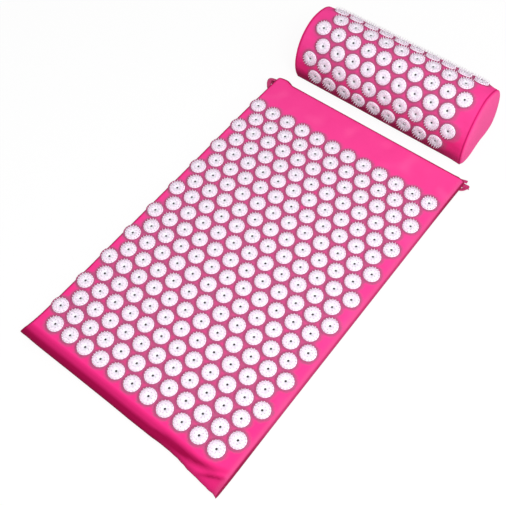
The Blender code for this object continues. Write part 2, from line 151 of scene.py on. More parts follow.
class Finish:
    """A tree of nodes, and short ways to add to it."""

    def __init__(self, owner):
        owner.use_nodes = True
        self.owner = owner
        self.tree = owner.node_tree
        self.tree.nodes.clear()

    def node(self, kind, settings=None, sockets=None):
        made = self.tree.nodes.new("ShaderNode" + kind)
        for key, value in (settings or {}).items():
            setattr(made, key, value)
        for key, value in (sockets or {}).items():
            self.feed(made.inputs[key], value)
        return made

    def feed(self, socket, value):
        value = value.socket if isinstance(value, Amount) else value
        if isinstance(value, bpy.types.NodeSocket):
            self.tree.links.new(value, socket)
        else:
            socket.default_value = value

    def math(self, operation, *values):
        sockets = dict(enumerate(values))
        made = self.node("Math", {"operation": operation}, sockets)
        return Amount(self, made.outputs[0])

    def mix(self, share, first, second):
        """Blends two colours; the sockets 6 and 7 of this node are its colours."""
        made = self.node("Mix", {"data_type": "RGBA"}, {0: share, 6: first, 7: second})
        return made.outputs[2]

    def apart(self, vector):
        made = self.node("SeparateXYZ", {}, {0: vector})
        return [Amount(self, socket) for socket in made.outputs]

    def cloud(self, place, scale, detail=2.0, stretch=(1.0, 1.0, 1.0)):
        """Soft noise from 0 to 1, stretched where a stretch is given."""
        placed = self.node("Mapping", {}, {"Vector": place, "Scale": stretch}).outputs[0]
        made = self.node("TexNoise", {}, {"Vector": placed, "Scale": scale, "Detail": detail})
        return Amount(self, made.outputs[0])

    def cloth_place(self):
        """The place on the flat cloth, in metres, from the piece's own map."""
        return self.node("UVMap", {"uv_map": CLOTH_MAP}).outputs[0]

    def object_place(self):
        return self.node("TexCoord").outputs["Object"]

    def painted(self, name):
        made = self.node("Attribute", {"attribute_name": name})
        return Amount(self, made.outputs["Fac"])

    def bump(self, height, strength, distance):
        sockets = {"Height": height, "Strength": strength, "Distance": distance}
        return self.node("Bump", {}, sockets).outputs[0]

    def surface(self, sockets):
        shader = self.node("BsdfPrincipled", {}, sockets)
        self.node("OutputMaterial", {}, {"Surface": shader.outputs[0]})
        return self.owner


def new_finish(name):
    return Finish(bpy.data.materials.new(name))


print("cloth is mapped by", CLOTH_MAP)

# %% [markdown]
# ## Floor
#
# The object stands on plain white. The floor is a matt sheet that catches the soft shadow. For
# the camera, and in mirrors and glass, it is paler, and most of it glows at strength 1, which is
# white, so it stays white without more light on the object. Other light meets a middle grey, so
# the floor doesn't wash out the shade under the edges.

# %% Floor
FLOOR_SIZE = 12
FLOOR_DROP = 0.0004
FLOOR_WHITE = (0.97, 0.97, 0.97, 1)
FLOOR_GREY = (0.42, 0.42, 0.42, 1)
FLOOR_GLOW_SHARE = 0.89


def seen_directly(finish):
    """1 for camera rays and for rays through gloss or glass, 0 for other light."""
    path = finish.node("LightPath").outputs
    rays = [Amount(finish, path[name]) for name in ("Is Camera Ray", "Is Glossy Ray",
                                                     "Is Transmission Ray")]
    return finish.math("MINIMUM", rays[0] + rays[1] + rays[2], 1.0)


def floor_finish():
    finish = new_finish("white_floor")
    seen = seen_directly(finish)
    matt = finish.node("BsdfDiffuse", {}, {"Color": finish.mix(seen, FLOOR_GREY, FLOOR_WHITE)})
    glow = finish.node("Emission", {}, {"Color": (1, 1, 1, 1), "Strength": 1.0})
    share = seen * FLOOR_GLOW_SHARE
    both = finish.node("MixShader", {}, {0: share, 1: matt.outputs[0], 2: glow.outputs[0]})
    finish.node("OutputMaterial", {}, {"Surface": both.outputs[0]})
    return finish.owner


bm = bmesh.new()
bmesh.ops.create_grid(bm, x_segments=1, y_segments=1, size=FLOOR_SIZE / 2,
                      matrix=Matrix.Translation((0, 0, -FLOOR_DROP)))
floor = link("floor", mesh_of("floor", bm, floor_finish()))
print("floor", FLOOR_SIZE, "m wide")

# %% [markdown]
# ## Light
#
# One wide lamp hangs high on the right, a little in front, near the camera's own side, so the
# spikes cast little shade. A weak second one stands low on the right and brightens the pillow's
# end. The world is white where the camera sees it, and about half as bright for other light.

# %% Lamps and world
LAMPS = (("main_lamp", (0.85, -0.45, 1.72), (0, 0.05, 0), 1.2, 29.0),
         ("side_lamp", (1.35, 0.30, 0.50), (0.15, 0.35, 0.05), 0.7, 4))
WORLD_LEVEL = 0.53

sky = Finish(bpy.data.worlds.new("studio"))
fill = sky.node("Background", {}, {"Color": (1, 1, 1, 1), "Strength": WORLD_LEVEL})
white = sky.node("Background", {}, {"Color": (1, 1, 1, 1), "Strength": 1.0})
both = sky.node("MixShader", {}, {0: seen_directly(sky), 1: fill.outputs[0],
                                  2: white.outputs[0]})
sky.node("OutputWorld", {}, {"Surface": both.outputs[0]})
scene.world = sky.owner

for name, place, target, size, power in LAMPS:
    lamp_data = bpy.data.lights.new(name, "AREA")
    lamp_data.size, lamp_data.energy = size, power
    lamp = link(name, lamp_data)
    lamp.location = place
    lamp.rotation_euler = (Vector(place) - Vector(target)).to_track_quat("Z", "Y").to_euler()
    print(name, power, "W")
scene.view_settings.view_transform = "Standard"
print("world level", WORLD_LEVEL)

# %% [markdown]
# ## Finish of the cover cloth
#
# The cover is a plain-woven cotton in a strong pink. Its threads are half a millimetre wide, so
# the weave shows only close by: the product of two sine waves gives the over and under of the
# threads as height. From further off the cloth shows cloudy dye, uneven yarn and paler patches
# where it rubs; on the pillow's ends the same paler colour is painted light. Folds, edges and the
# pillow's front near the floor carry painted shade, and round the discs there is a dull mauve of
# painted shade. The mesh carries the last three as painted values. Shallow painted shade turns
# the colour to a vivid pink first, and only deep painted shade makes it dark. The dull shade
# round the discs comes between the two, so it stays dull in deep shade. A little sheen stands
# for the fine fibres on the surface.

# %% Cover cloth
DEEP_PINK = (0.72, 0.018, 0.185, 1)
BRIGHT_PINK = (0.90, 0.060, 0.300, 1)
# Paler pink of rubbed patches, and of the painted light on the pillow's ends.
WORN_AND_LIT_PINK = (1.00, 0.150, 0.400, 1)
# Colours of painted shade: a vivid pink where it is shallow, a dark pink where it is deep.
SHALLOW_SHADE_PINK = (0.870, 0.026, 0.222, 1)
DEEP_SHADE_PINK = (0.260, 0.000, 0.040, 1)
# Dull mauve of the painted shade round and between the discs.
DISC_SHADE_MAUVE = (0.320, 0.115, 0.200, 1)
THREAD = 0.00055
DYE_SHARE, YARN_SHARE, WEAVE_SHARE, LEAST_SHARE = 0.30, 0.16, 0.06, 0.52
WORN_AND_LIT_SHARE, SHALLOW_SHADE_RISE, DEEP_SHADE_RISE, DEEP_SHADE_START = 0.5, 3.5, 1.25, 0.25


def cover_cloth():
    finish = new_finish("pink_woven_cloth")
    place = finish.cloth_place()
    across, along, _ = finish.apart(place)
    weave = (across * (pi / THREAD)).sine() * (along * (pi / THREAD)).sine() * 0.5 + 0.5
    yarn = finish.cloud(place, scale=700, detail=1.0, stretch=(1.0, 0.25, 1.0))
    dye = finish.cloud(place, scale=24, detail=3.0)
    shade = dye * DYE_SHARE + yarn * YARN_SHARE + weave * WEAVE_SHARE + LEAST_SHARE
    colour = finish.mix(shade, DEEP_PINK, BRIGHT_PINK)
    # Paler where the cloth rubs; on the pillow's ends this paler colour is painted light.
    colour = finish.mix(finish.painted("wear") * WORN_AND_LIT_SHARE, colour, WORN_AND_LIT_PINK)
    # Painted shade in folds and along edges: shallow shade turns the colour a vivid pink.
    colour = finish.mix(finish.painted("painted_shade") * SHALLOW_SHADE_RISE, colour, SHALLOW_SHADE_PINK)
    # Dull painted shade round and between the discs.
    colour = finish.mix(finish.painted("disc_shade"), colour, DISC_SHADE_MAUVE)
    # Deep painted shade in folds and along edges turns the colour dark.
    deep_shade = finish.painted("painted_shade") * DEEP_SHADE_RISE - DEEP_SHADE_START
    colour = finish.mix(deep_shade, colour, DEEP_SHADE_PINK)
    height = weave * 0.7 + yarn * 0.5
    return finish.surface({
        "Base Color": colour,
        "Roughness": yarn * 0.14 + 0.74,
        "Sheen Weight": 0.03,
        "Sheen Roughness": 0.45,
        "Sheen Tint": (1.0, 0.55, 0.75, 1),
        "Specular IOR Level": 0.06,
        "Normal": finish.bump(height, strength=0.45, distance=0.00018),
    })


PINK_CLOTH = cover_cloth()
print("finish", PINK_CLOTH.name)

# %% [markdown]
# ## Finish of the discs
#
# The discs are moulded in white polystyrene: bright, a little glossy, very slightly uneven from
# the mould. A faint cloud in the colour, the roughness and the height keeps hundreds of discs
# from looking like one flat white. Light goes a little way into the plastic, so the spikes glow.
# The thin rim has a painted pink blush, a painted reflection of the pink cloth under it, and the
# spikes' tips have the same brighter colour as painted light. The floor of the small hole is
# painted dark, as painted shade. The mesh carries both as painted values.

# %% White plastic
MILK_WHITE = (0.805, 0.780, 0.865, 1)
SNOW_WHITE = (0.860, 0.835, 0.905, 1)
# Painted light: a pink reflection of the cloth on the rim, also on the spikes' tips.
RIM_PAINTED_LIGHT = (1.000, 0.815, 0.965, 1)
HOLE_PAINTED_SHADE = (0.02, 0.012, 0.016, 1)


def white_plastic():
    finish = new_finish("white_moulded_plastic")
    place = finish.object_place()
    flow = finish.cloud(place, scale=60, detail=2.0)
    grain = finish.cloud(place, scale=900, detail=2.0)
    plastic = finish.mix(flow, MILK_WHITE, SNOW_WHITE)
    # Painted reflection of the pink cloth on the rim, and painted light on the spikes' tips.
    plastic = finish.mix(finish.painted("rim"), plastic, RIM_PAINTED_LIGHT)
    return finish.surface({
        # Painted shade on the floor of the small hole.
        "Base Color": finish.mix(finish.painted("hole"), plastic, HOLE_PAINTED_SHADE),
        "Roughness": grain * 0.16 + 0.26,
        "Specular IOR Level": 0.40,
        "Subsurface Weight": 0.3,
        "Subsurface Radius": (1.0, 0.9, 0.95),
        "Subsurface Scale": 0.002,
        "Normal": finish.bump(grain, strength=0.15, distance=0.0001),
    })


WHITE_PLASTIC = white_plastic()
print("finish", WHITE_PLASTIC.name)

# %% [markdown]
# ## Finishes of foam, zip and thread
#
# Foam shows open pores, which a Voronoi pattern gives. Zip tape is a twill, so its ribs run
# slantwise: one sine wave of the sum of both directions. The coil and the thread are nylon,
# smooth with fine lengthwise lines, and the slider is a zinc casting, brushed and worn.

# %% Foam, tape, nylon and zinc
FOAM_PALE = (0.86, 0.82, 0.68, 1)
FOAM_PORE = (0.52, 0.47, 0.34, 1)
TAPE_DEEP = (0.36, 0.006, 0.085, 1)
TAPE_BRIGHT = (0.64, 0.030, 0.185, 1)
NYLON_DEEP = (0.60, 0.012, 0.130, 1)
NYLON_BRIGHT = (0.95, 0.060, 0.300, 1)
ZINC_DULL = (0.50, 0.50, 0.52, 1)
ZINC_BRIGHT = (0.82, 0.82, 0.84, 1)
TWILL_RIB = 0.0007


def pale_foam():
    finish = new_finish("pale_foam")
    place = finish.object_place()
    cells = finish.node("TexVoronoi", {}, {"Vector": place, "Scale": 700.0})
    pores = Amount(finish, cells.outputs["Distance"])
    return finish.surface({
        "Base Color": finish.mix(pores, FOAM_PORE, FOAM_PALE),
        "Roughness": pores * 0.1 + 0.88,
        "Normal": finish.bump(pores, strength=0.6, distance=0.0006),
    })


def zip_tape_cloth():
    finish = new_finish("pink_zip_tape")
    across, along, _ = finish.apart(finish.cloth_place())
    rib = ((across + along) * (2 * pi / TWILL_RIB)).sine() * 0.5 + 0.5
    yarn = finish.cloud(finish.cloth_place(), scale=900, detail=1.0)
    return finish.surface({
        "Base Color": finish.mix(rib * 0.5 + yarn * 0.5, TAPE_DEEP, TAPE_BRIGHT),
        "Roughness": yarn * 0.15 + 0.66,
        "Sheen Weight": 0.10,
        "Normal": finish.bump(rib + yarn * 0.4, strength=0.5, distance=0.00015),
    })


def pink_nylon():
    finish = new_finish("pink_nylon")
    grain = finish.cloud(finish.object_place(), scale=1500, detail=1.0, stretch=(0.2, 1.0, 1.0))
    return finish.surface({
        "Base Color": finish.mix(grain, NYLON_DEEP, NYLON_BRIGHT),
        "Roughness": grain * 0.2 + 0.34,
        "Normal": finish.bump(grain, strength=0.2, distance=0.0001),
    })


def brushed_zinc():
    finish = new_finish("brushed_zinc")
    place = finish.object_place()
    lines = finish.cloud(place, scale=2500, detail=2.0, stretch=(0.06, 1.0, 1.0))
    wear = finish.cloud(place, scale=300, detail=3.0)
    return finish.surface({
        "Base Color": finish.mix(lines * 0.6 + wear * 0.4, ZINC_DULL, ZINC_BRIGHT),
        "Metallic": 1.0,
        "Roughness": wear * 0.25 + 0.22,
        "Normal": finish.bump(lines, strength=0.25, distance=0.00005),
    })


FOAM, TAPE_CLOTH, NYLON, ZINC = pale_foam(), zip_tape_cloth(), pink_nylon(), brushed_zinc()
print("finishes", [finish.name for finish in (FOAM, TAPE_CLOTH, NYLON, ZINC)])

# %% [markdown]
# ## How a piece joins the model
#
# A new piece gets a mesh, a finish, the body it rides on, and the names of the solids it stands
# for. One function does this for all of them, and prints how many triangles the piece has. Foam
# and metal pieces keep the form of their solids. A solid's mesh is loose triangles, so its copy
# is merged first, and then its sharp edges are rounded.

# %% Adding a piece
WELD = 0.000001
SOLID_WELD, FLAT_ANGLE, SHARP_ANGLE = 0.00001, radians(1), radians(30)


def add_piece(name, bm, finish, body, stands_for=(), smooth=True):
    mesh = mesh_of(name, bm, finish)
    mesh.polygons.foreach_set("use_smooth", [smooth] * len(mesh.polygons))
    piece = link(name, mesh)
    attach(piece, body)
    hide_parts(*stands_for)
    print(name, sum(len(face.vertices) - 2 for face in mesh.polygons), "triangles")
    return piece


def shell_of(bm):
    """Turns the faces of a closed mesh outwards, after its doubles are merged."""
    bmesh.ops.remove_doubles(bm, verts=bm.verts[:], dist=WELD)
    bmesh.ops.recalc_face_normals(bm, faces=bm.faces[:])
    if bm.calc_volume(signed=True) < 0:
        bmesh.ops.reverse_faces(bm, faces=bm.faces[:])


def rounded_solid(node, round_by, clamp=False):
    """A merged copy of a solid, with its sharp edges rounded."""
    bm = bmesh.new()
    bm.from_mesh(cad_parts[node].data)
    bmesh.ops.remove_doubles(bm, verts=bm.verts[:], dist=SOLID_WELD)
    bmesh.ops.dissolve_limit(bm, angle_limit=FLAT_ANGLE, verts=bm.verts[:], edges=bm.edges[:])
    sharp = [edge for edge in bm.edges
             if edge.is_manifold and edge.calc_face_angle() > SHARP_ANGLE]
    bmesh.ops.bevel(bm, geom=sharp, offset=round_by, offset_type="OFFSET", segments=2,
                    profile=0.5, affect="EDGES", clamp_overlap=clamp, material=-1)
    return bm


print("rounded edges have two faces across")

# %% [markdown]
# ## Laying a cloth
#
# A panel of cloth is a grid. Two functions shape it: one gives the place in space of a grid
# column and row, the other the place on the flat cloth, which the weave follows. The painted
# values for wear and painted light, for painted shade in folds and at edges, and for painted
# shade round the discs go on the corners of the grid.


# %% Laying a cloth
def lay_cloth(bm, columns, rows, point, flat, painted=None):
    """Adds a grid of cloth, shaped by point and mapped by flat."""
    uv = bm.loops.layers.uv.get(CLOTH_MAP) or bm.loops.layers.uv.new(CLOTH_MAP)
    # Wear and painted light, painted shade of folds and edges, painted shade round the discs.
    layers = [bm.verts.layers.float.get(name) or bm.verts.layers.float.new(name)
              for name in ("wear", "painted_shade", "disc_shade")]
    grid = bmesh.ops.create_grid(bm, x_segments=columns, y_segments=rows, size=1.0)["verts"]
    places = {}
    for vert in grid:
        column = round((vert.co.x + 1) * columns / 2)
        row = round((vert.co.y + 1) * rows / 2)
        places[vert] = (column, row)
    for vert, (column, row) in places.items():
        vert.co = point(column, row)
        for layer, value in zip(layers, painted(column, row) if painted else (0, 0, 0)):
            vert[layer] = value
    for face in {face for vert in grid for face in vert.link_faces}:
        for loop in face.loops:
            loop[uv].uv = flat(*places[loop.vert])
    return grid


def walked(points):
    """Distance along a line of points, counted from its middle."""
    lengths = [0.0]
    for first, second in zip(points, points[1:]):
        lengths.append(lengths[-1] + hypot(second[0] - first[0], second[1] - first[1]))
    return [length - lengths[-1] / 2 for length in lengths]


def eased(share):
    """From 0 to 1 with a soft start and a soft end."""
    share = min(1.0, max(0.0, share))
    return share * share * (3 - 2 * share)


def on_line(points, x, ease=eased):
    """Value at x on a line through points, with an eased share between two of them."""
    for (x1, value1), (x2, value2) in zip(points, points[1:]):
        if x <= x2:
            return value1 + (value2 - value1) * ease((x - x1) / (x2 - x1))
    return points[-1][1]


def wave(x, y, length, seed):
    """Soft noise from -1 to 1 with waves about this long."""
    return noise.noise(Vector((x / length, y / length, seed)))


def bell(gap, width):
    """1 where the gap is 0, and less over about this width."""
    return exp(-(gap / width) ** 2)


print("half way, an eased share is", eased(0.5))

# %% [markdown]
# ## Where the discs are
#
# The rows of discs are in the solids, so their places are read from there. A row's box gives its
# middle and its length, and the length gives the number of discs. On the pillow the rows lie
# round the arch, and each row leans with the arch at its place. The arch is an ellipse, a
# little fuller at the back.

# %% Disc places
DISC_DIAMETER, DRUM_SIDES = 0.028, 10
DRUM_REACH = DISC_DIAMETER * cos(pi / DRUM_SIDES)
MAT_PITCH = 0.033
MAT_TOP = 0.020
PILLOW_PITCH = 0.0321
PILLOW_SHIFT = -0.0068
PILLOW_Y = 0.42635
ARCH_DEPTH, ARCH_RISE, BELLY = 0.065, 0.07645, 0.03355
ROW_SHARE, PILLOW_ROWS = 0.861, 7
ARCH_TURN = ROW_SHARE * PILLOW_PITCH / ARCH_DEPTH
BACK_POWER = 2.35


def row_places(node, pitch):
    """Middles of the discs along X, from a row's box."""
    low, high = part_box(node)
    count = round((high.x - low.x - DRUM_REACH) / pitch) + 1
    middle = (low.x + high.x) / 2
    return [middle + (index - (count - 1) / 2) * pitch for index in range(count)]


def signed_power(value, power):
    return copysign(abs(value) ** power, value)


def arch_power(angle):
    """2 is an ellipse; the back is fuller than that, above the belly."""
    return BACK_POWER if pi / 2 < angle < pi else 2


def arch_point(angle):
    """Point of the pillow's section, from the front over the top to the back."""
    power = 2 / arch_power(angle)
    return Vector((0, PILLOW_Y - ARCH_DEPTH * signed_power(cos(angle), power),
                   BELLY + ARCH_RISE * signed_power(sin(angle), power)))


def arch_normal(angle):
    """Direction out of the arch at an angle."""
    power = 2 - 2 / arch_power(angle)
    return Vector((0, -signed_power(cos(angle), power) / ARCH_DEPTH,
                   signed_power(sin(angle), power) / ARCH_RISE)).normalized()


mat_rows = {}
for node in sorted(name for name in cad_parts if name.startswith("mat_disc_row")):
    low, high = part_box(node)
    mat_rows[node] = [(x, (low.y + high.y) / 2) for x in row_places(node, MAT_PITCH)]

pillow_rows = {}
for index in range(PILLOW_ROWS):
    node = f"pillow_disc_row_{index + 1}"
    pillow_rows[node] = [(x, index * ARCH_TURN) for x in row_places(node, PILLOW_PITCH)]


def tree_of(spots):
    """A tree that finds the nearest of these flat places."""
    tree = KDTree(len(spots))
    for index, (x, y) in enumerate(spots):
        tree.insert((x, y, 0), index)
    tree.balance()
    return tree


print("mat", [len(row) for row in mat_rows.values()])
print("pillow", [len(row) for row in pillow_rows.values()])

# %% [markdown]
# ## Outline of the mat's cover
#
# The cover is two panels of cloth, sewn together round the side and drawn over a foam slab 20 mm
# thick. Its edge is a rounded roll, higher than it is wide, and the foot edge rolls more slowly.
# The corners at the foot are pulled out to tips, and the corners at the head are drawn in by the
# zip. The foot line says, place by place, how far the foot edge stands in from a straight line,
# or out where the number is below zero.

# %% Outline of the mat's cover
MAT_HALF_WIDTH, MAT_HALF_LENGTH = 0.203, 0.33075
SEAM_HEIGHT = 0.0096
EDGE_REACH, FOOT_REACH, BASE_REACH = 0.009, 0.013, 0.006
ROLL_POWER = 2.4
FOOT_LEFT_TIP, FOOT_RIGHT_TIP, TIP_POWER = (-0.0060, 0.0020), (-0.0020, -0.0105), 14
SIDE_DRAW, HEAD_DRAW, DRAW_POWER = 0.002, 0.004, 6
RIGHT_FULL, RIGHT_FULL_TILT, RIGHT_HEAD_SHARE = 0.0016, 0.75, 0.8
FOOT_POWER = 14
FOOT_LINE = ((-0.203, 0.0), (-0.192, 0.0012), (-0.100, 0.0014), (-0.020, 0.0012), (0.030, 0.0006),
             (0.068, 0.0006), (0.088, 0.0014), (0.104, 0.0012), (0.120, 0.0004),
             (0.133, -0.0013), (0.146, -0.0035), (0.159, -0.0042), (0.172, -0.0050),
             (0.185, -0.0046), (0.197, -0.0014), (0.203, 0.0))


def rolled(share):
    """Share of the full height that a rounded edge has at a share of its reach."""
    if share >= 1:
        return 1.0
    return (1 - (1 - share) ** ROLL_POWER) ** (1 / ROLL_POWER)


def cover_plan(x, y):
    """The drawn-in outline of the cover, with its corner tips."""
    side, end = abs(x) / MAT_HALF_WIDTH, y / MAT_HALF_LENGTH
    foot, head = max(0.0, -end), max(0.0, end) ** DRAW_POWER
    corner = (side * foot) ** TIP_POWER
    tip_x, tip_y = FOOT_RIGHT_TIP if x > 0 else FOOT_LEFT_TIP
    draw = SIDE_DRAW * (1 - abs(end) ** DRAW_POWER) + HEAD_DRAW * head
    outward = 1 if x > 0 else -1
    if x > 0:
        draw -= RIGHT_FULL * (1 - RIGHT_FULL_TILT * end) + RIGHT_HEAD_SHARE * HEAD_DRAW * head
    return (x - outward * draw * side ** DRAW_POWER + corner * tip_x,
            y + corner * tip_y + on_line(FOOT_LINE, x) * foot ** FOOT_POWER)


for x in (-MAT_HALF_WIDTH, MAT_HALF_WIDTH):
    print("foot corner", [round(place, 4) for place in cover_plan(x, -MAT_HALF_LENGTH)])

# %% [markdown]
# ## Folds at the foot
#
# At the foot the cloth is a little too long, so it lies in a long fold that deepens to the right,
# with a ridge outside it and a short slanting fold at the corner. A fold is a groove along a
# short path: its width, then points with their depth. The nearest place of the path gives the
# depth there, and a depth below zero is a ridge.

# %% Folds at the foot
FOLDS = (
    (0.0040, ((-0.150, -0.3200, 0.0), (-0.0406, -0.3230, 0.0008), (0.0246, -0.3250, 0.0016),
              (0.0647, -0.3250, 0.0027), (0.0919, -0.3200, 0.0034), (0.1249, -0.3200, 0.0037),
              (0.1497, -0.3185, 0.0036), (0.1787, -0.3118, 0.0026), (0.2010, -0.3020, 0.0))),
    (0.0036, ((0.0700, -0.3270, 0.0), (0.1192, -0.3285, -0.0015), (0.1452, -0.3300, -0.0016),
              (0.1700, -0.3260, -0.0006))),
    (0.0026, ((0.1568, -0.3357, 0.0), (0.1774, -0.3245, 0.0032), (0.1937, -0.3164, 0.0030),
              (0.2008, -0.3132, 0.0006))),
)


def groove_at(x, y):
    """Depth of all folds at a place on the cover."""
    total = 0.0
    for width, path in FOLDS:
        best, depth = 1.0, 0.0
        for (x1, y1, d1), (x2, y2, d2) in zip(path, path[1:]):
            run = Vector((x2 - x1, y2 - y1))
            share = Vector((x - x1, y - y1)).dot(run) / run.length_squared
            share = min(1.0, max(0.0, share))
            gap = hypot(x - x1 - share * run.x, y - y1 - share * run.y)
            if gap < best:
                best, depth = gap, d1 + (d2 - d1) * share
        total += depth * bell(best, width)
    return total


deepest = max(depth for _, path in FOLDS for _, _, depth in path)
print("deepest fold", round(deepest * 1000, 1), "mm")

# %% [markdown]
# ## The flap over the slider
#
# At the left end of the zip the top panel stands out in a small flap, the garage that the slider
# parks under. Its line says how far it stands out, place by place, with straight runs between.

# %% The flap over the slider
GARAGE_LINE = ((-0.2060, 0.0024), (-0.2000, 0.0036), (-0.1900, 0.0056), (-0.1820, 0.0064),
               (-0.1760, 0.0054), (-0.1690, 0.0022), (-0.1630, 0.0))
GARAGE_LOW, GARAGE_HIGH, GARAGE_REACH = 0.0139, 0.0154, 0.016


def garage_at(x, to_head, height):
    """How far the flap over the parked slider stands out."""
    if not GARAGE_LINE[0][0] < x < GARAGE_LINE[-1][0] or height <= GARAGE_LOW:
        return 0.0
    return (on_line(GARAGE_LINE, x, ease=float)
            * eased((height - GARAGE_LOW) / (GARAGE_HIGH - GARAGE_LOW))
            * (1 - eased(to_head / GARAGE_REACH)))


print("flap stands out", max(out for _, out in GARAGE_LINE) * 1000, "mm")

# %% [markdown]
# ## Surface of the mat's cover
#
# The top sinks under each disc and rises a little between them, ripples where the seam gathers
# it, and waves softly in its free border. The base is flat, and the seam is a groove round the
# side. To know how far a place is from its nearest disc, the middles of all discs go into a tree.

# %% Surface of the mat's cover
SEAM_GROOVE, BASE_SINK = 0.0009, 0.0004
DISC_EDGE, DISC_DIMPLE, DIMPLE_FADE = 0.0142, 0.0005, 0.004
BORDER_START, BORDER_FADE, BORDER_REACH = 0.016, 0.012, 0.02
WAVE_HEIGHT, WAVE_LENGTH, WAVE_SINK = 0.0007, 0.045, 0.0002
RIPPLE_HEIGHT, RIPPLE_LENGTH, RIPPLE_REACH = 0.00022, 0.0105, 0.007
RIPPLE_SHIFT, RIPPLE_SHIFT_LENGTH, HEAD_CALM = 3, 0.04, 0.03

disc_tree = tree_of([spot for row in mat_rows.values() for spot in row])


def border_share(x, y):
    """0 under and beside the discs, 1 in the free border."""
    return eased((disc_tree.find((x, y, 0))[2] - BORDER_START) / BORDER_FADE)


def top_place(x, y):
    """Place of the top panel over a place of the flat plan."""
    half_x, half_y = MAT_HALF_WIDTH, MAT_HALF_LENGTH
    to_side, to_foot, to_head = half_x - abs(x), y + half_y, half_y - y
    rise = rolled(to_side / EDGE_REACH) * rolled(to_foot / FOOT_REACH) * rolled(to_head / EDGE_REACH)
    plan_x, plan_y = cover_plan(x, y)
    to_disc = disc_tree.find((plan_x, plan_y, 0))[2]
    edge = min(to_side, to_foot, to_head)
    height = SEAM_HEIGHT + rise * (MAT_TOP - SEAM_HEIGHT)
    free = border_share(plan_x, plan_y) * rolled(edge / BORDER_REACH)
    height += DISC_DIMPLE * eased((to_disc - DISC_EDGE) / DIMPLE_FADE) * rise
    height -= groove_at(plan_x, plan_y) * rolled(to_foot / FOOT_REACH)
    height += free * (WAVE_HEIGHT * wave(plan_x, plan_y, WAVE_LENGTH, seed=3.0) - WAVE_SINK)
    shift = RIPPLE_SHIFT * wave(x, y, RIPPLE_SHIFT_LENGTH, seed=7.0)
    ripple = sin(2 * pi * (x + y) / RIPPLE_LENGTH + shift) * exp(-edge / RIPPLE_REACH)
    height += RIPPLE_HEIGHT * ripple * rise * (1 - eased(1 - to_head / HEAD_CALM))
    return Vector((plan_x, plan_y + garage_at(x, to_head, height), height))


def base_place(x, y):
    """Place of the base panel under a place of the flat plan."""
    half_x, half_y = MAT_HALF_WIDTH, MAT_HALF_LENGTH
    drop = 1.0
    for gap in (half_x - abs(x), half_y - abs(y)):
        drop *= rolled(gap / BASE_REACH)
    plan_x, plan_y = cover_plan(x, y)
    return Vector((plan_x, plan_y, max(0.0, SEAM_HEIGHT - drop * (SEAM_HEIGHT + BASE_SINK))))


def seam_in(place, x, y):
    """Draws the rim in to a groove, as the seam does."""
    if abs(abs(x) - MAT_HALF_WIDTH) < WELD:
        place.x -= copysign(SEAM_GROOVE, place.x)
    if abs(abs(y) - MAT_HALF_LENGTH) < WELD:
        place.y -= copysign(SEAM_GROOVE, place.y)
    return place


print("the middle of the top is", round(top_place(0, 0).z * 1000, 2), "mm up")

# %% [markdown]
# ## Colour of the mat's cover
#
# The cloth carries painted shade along the seam, at the edges and in the folds, a little more
# painted shade towards the foot, and a dull painted shade between the discs, and it is paler in
# rubbed patches. Each painted shade near an edge is a depth, how far in from the edge it ends,
# and over what length it fades.

# %% Colour of the mat's cover
LEFT_SHADES = ((0.60, 0.0090, 0.0060), (0.90, 0.0058, 0.0016))
RIGHT_SHADES = ((0.10, 0.0090, 0.0060), (0.50, 0.0026, 0.0016), (0.90, 0.0026, 0.0016))
RIGHT_END_START, RIGHT_END_RUN = 0.20, 0.08
HEAD_SHADE = (0.90, 0.0058, 0.0014)
FOOT_SHADES = ((0.60, 0.0285, 0.0150), (0.95, 0.0205, 0.0145))
CORNER_START, CORNER_RUN, CORNER_PALER = 0.105, 0.085, (0.20, 0.65)
FOLD_TO_SHADE, FOOT_HALF_SHADE, FOOT_HALF_SHADE_START, FOOT_HALF_SHADE_RUN = 0.0078, 0.20, 0.02, 0.28
FIELD_SHADE, DISC_SHADE_REACH, DISC_SHADE_FADE = 0.56, 0.0205, 0.0035
DISC_SHADE_UNEVEN, DISC_SHADE_CLOUD, SIDE_DULL_SHADE = 0.9, 0.009, (0.35, 0.0110, 0.0090)
WEAR, WEAR_LENGTH, MOST_SHADE = 0.6, 0.03, 0.95


def disc_shade_at(to_disc):
    """How deep the dull painted shade is at a distance from the nearest disc's middle."""
    return FIELD_SHADE * eased((DISC_SHADE_REACH - to_disc) / DISC_SHADE_FADE)


def shade(gap, depth, reach, fade):
    """Depth of the painted shade at this gap from an edge."""
    return depth * eased((reach - gap) / fade)


def edge_shade(x, y):
    """How deep the painted shade is near an edge: a thin line at the seam, a wide band at the foot.
    """
    to_side, to_foot, to_head = MAT_HALF_WIDTH - abs(x), MAT_HALF_LENGTH + y, MAT_HALF_LENGTH - y
    if x > 0:
        wide, line, line_at_end = [shade(to_side, *values) for values in RIGHT_SHADES]
        at_end = eased((abs(y) - RIGHT_END_START) / RIGHT_END_RUN)
        side = max(wide, line + (line_at_end - line) * at_end)
    else:
        side = max(shade(to_side, *values) for values in LEFT_SHADES)
    corner = eased((x - CORNER_START) / CORNER_RUN)
    foot = max(shade(to_foot, *values) * (1 - paler * corner)
               for values, paler in zip(FOOT_SHADES, CORNER_PALER))
    return max(side, foot, shade(to_head, *HEAD_SHADE))


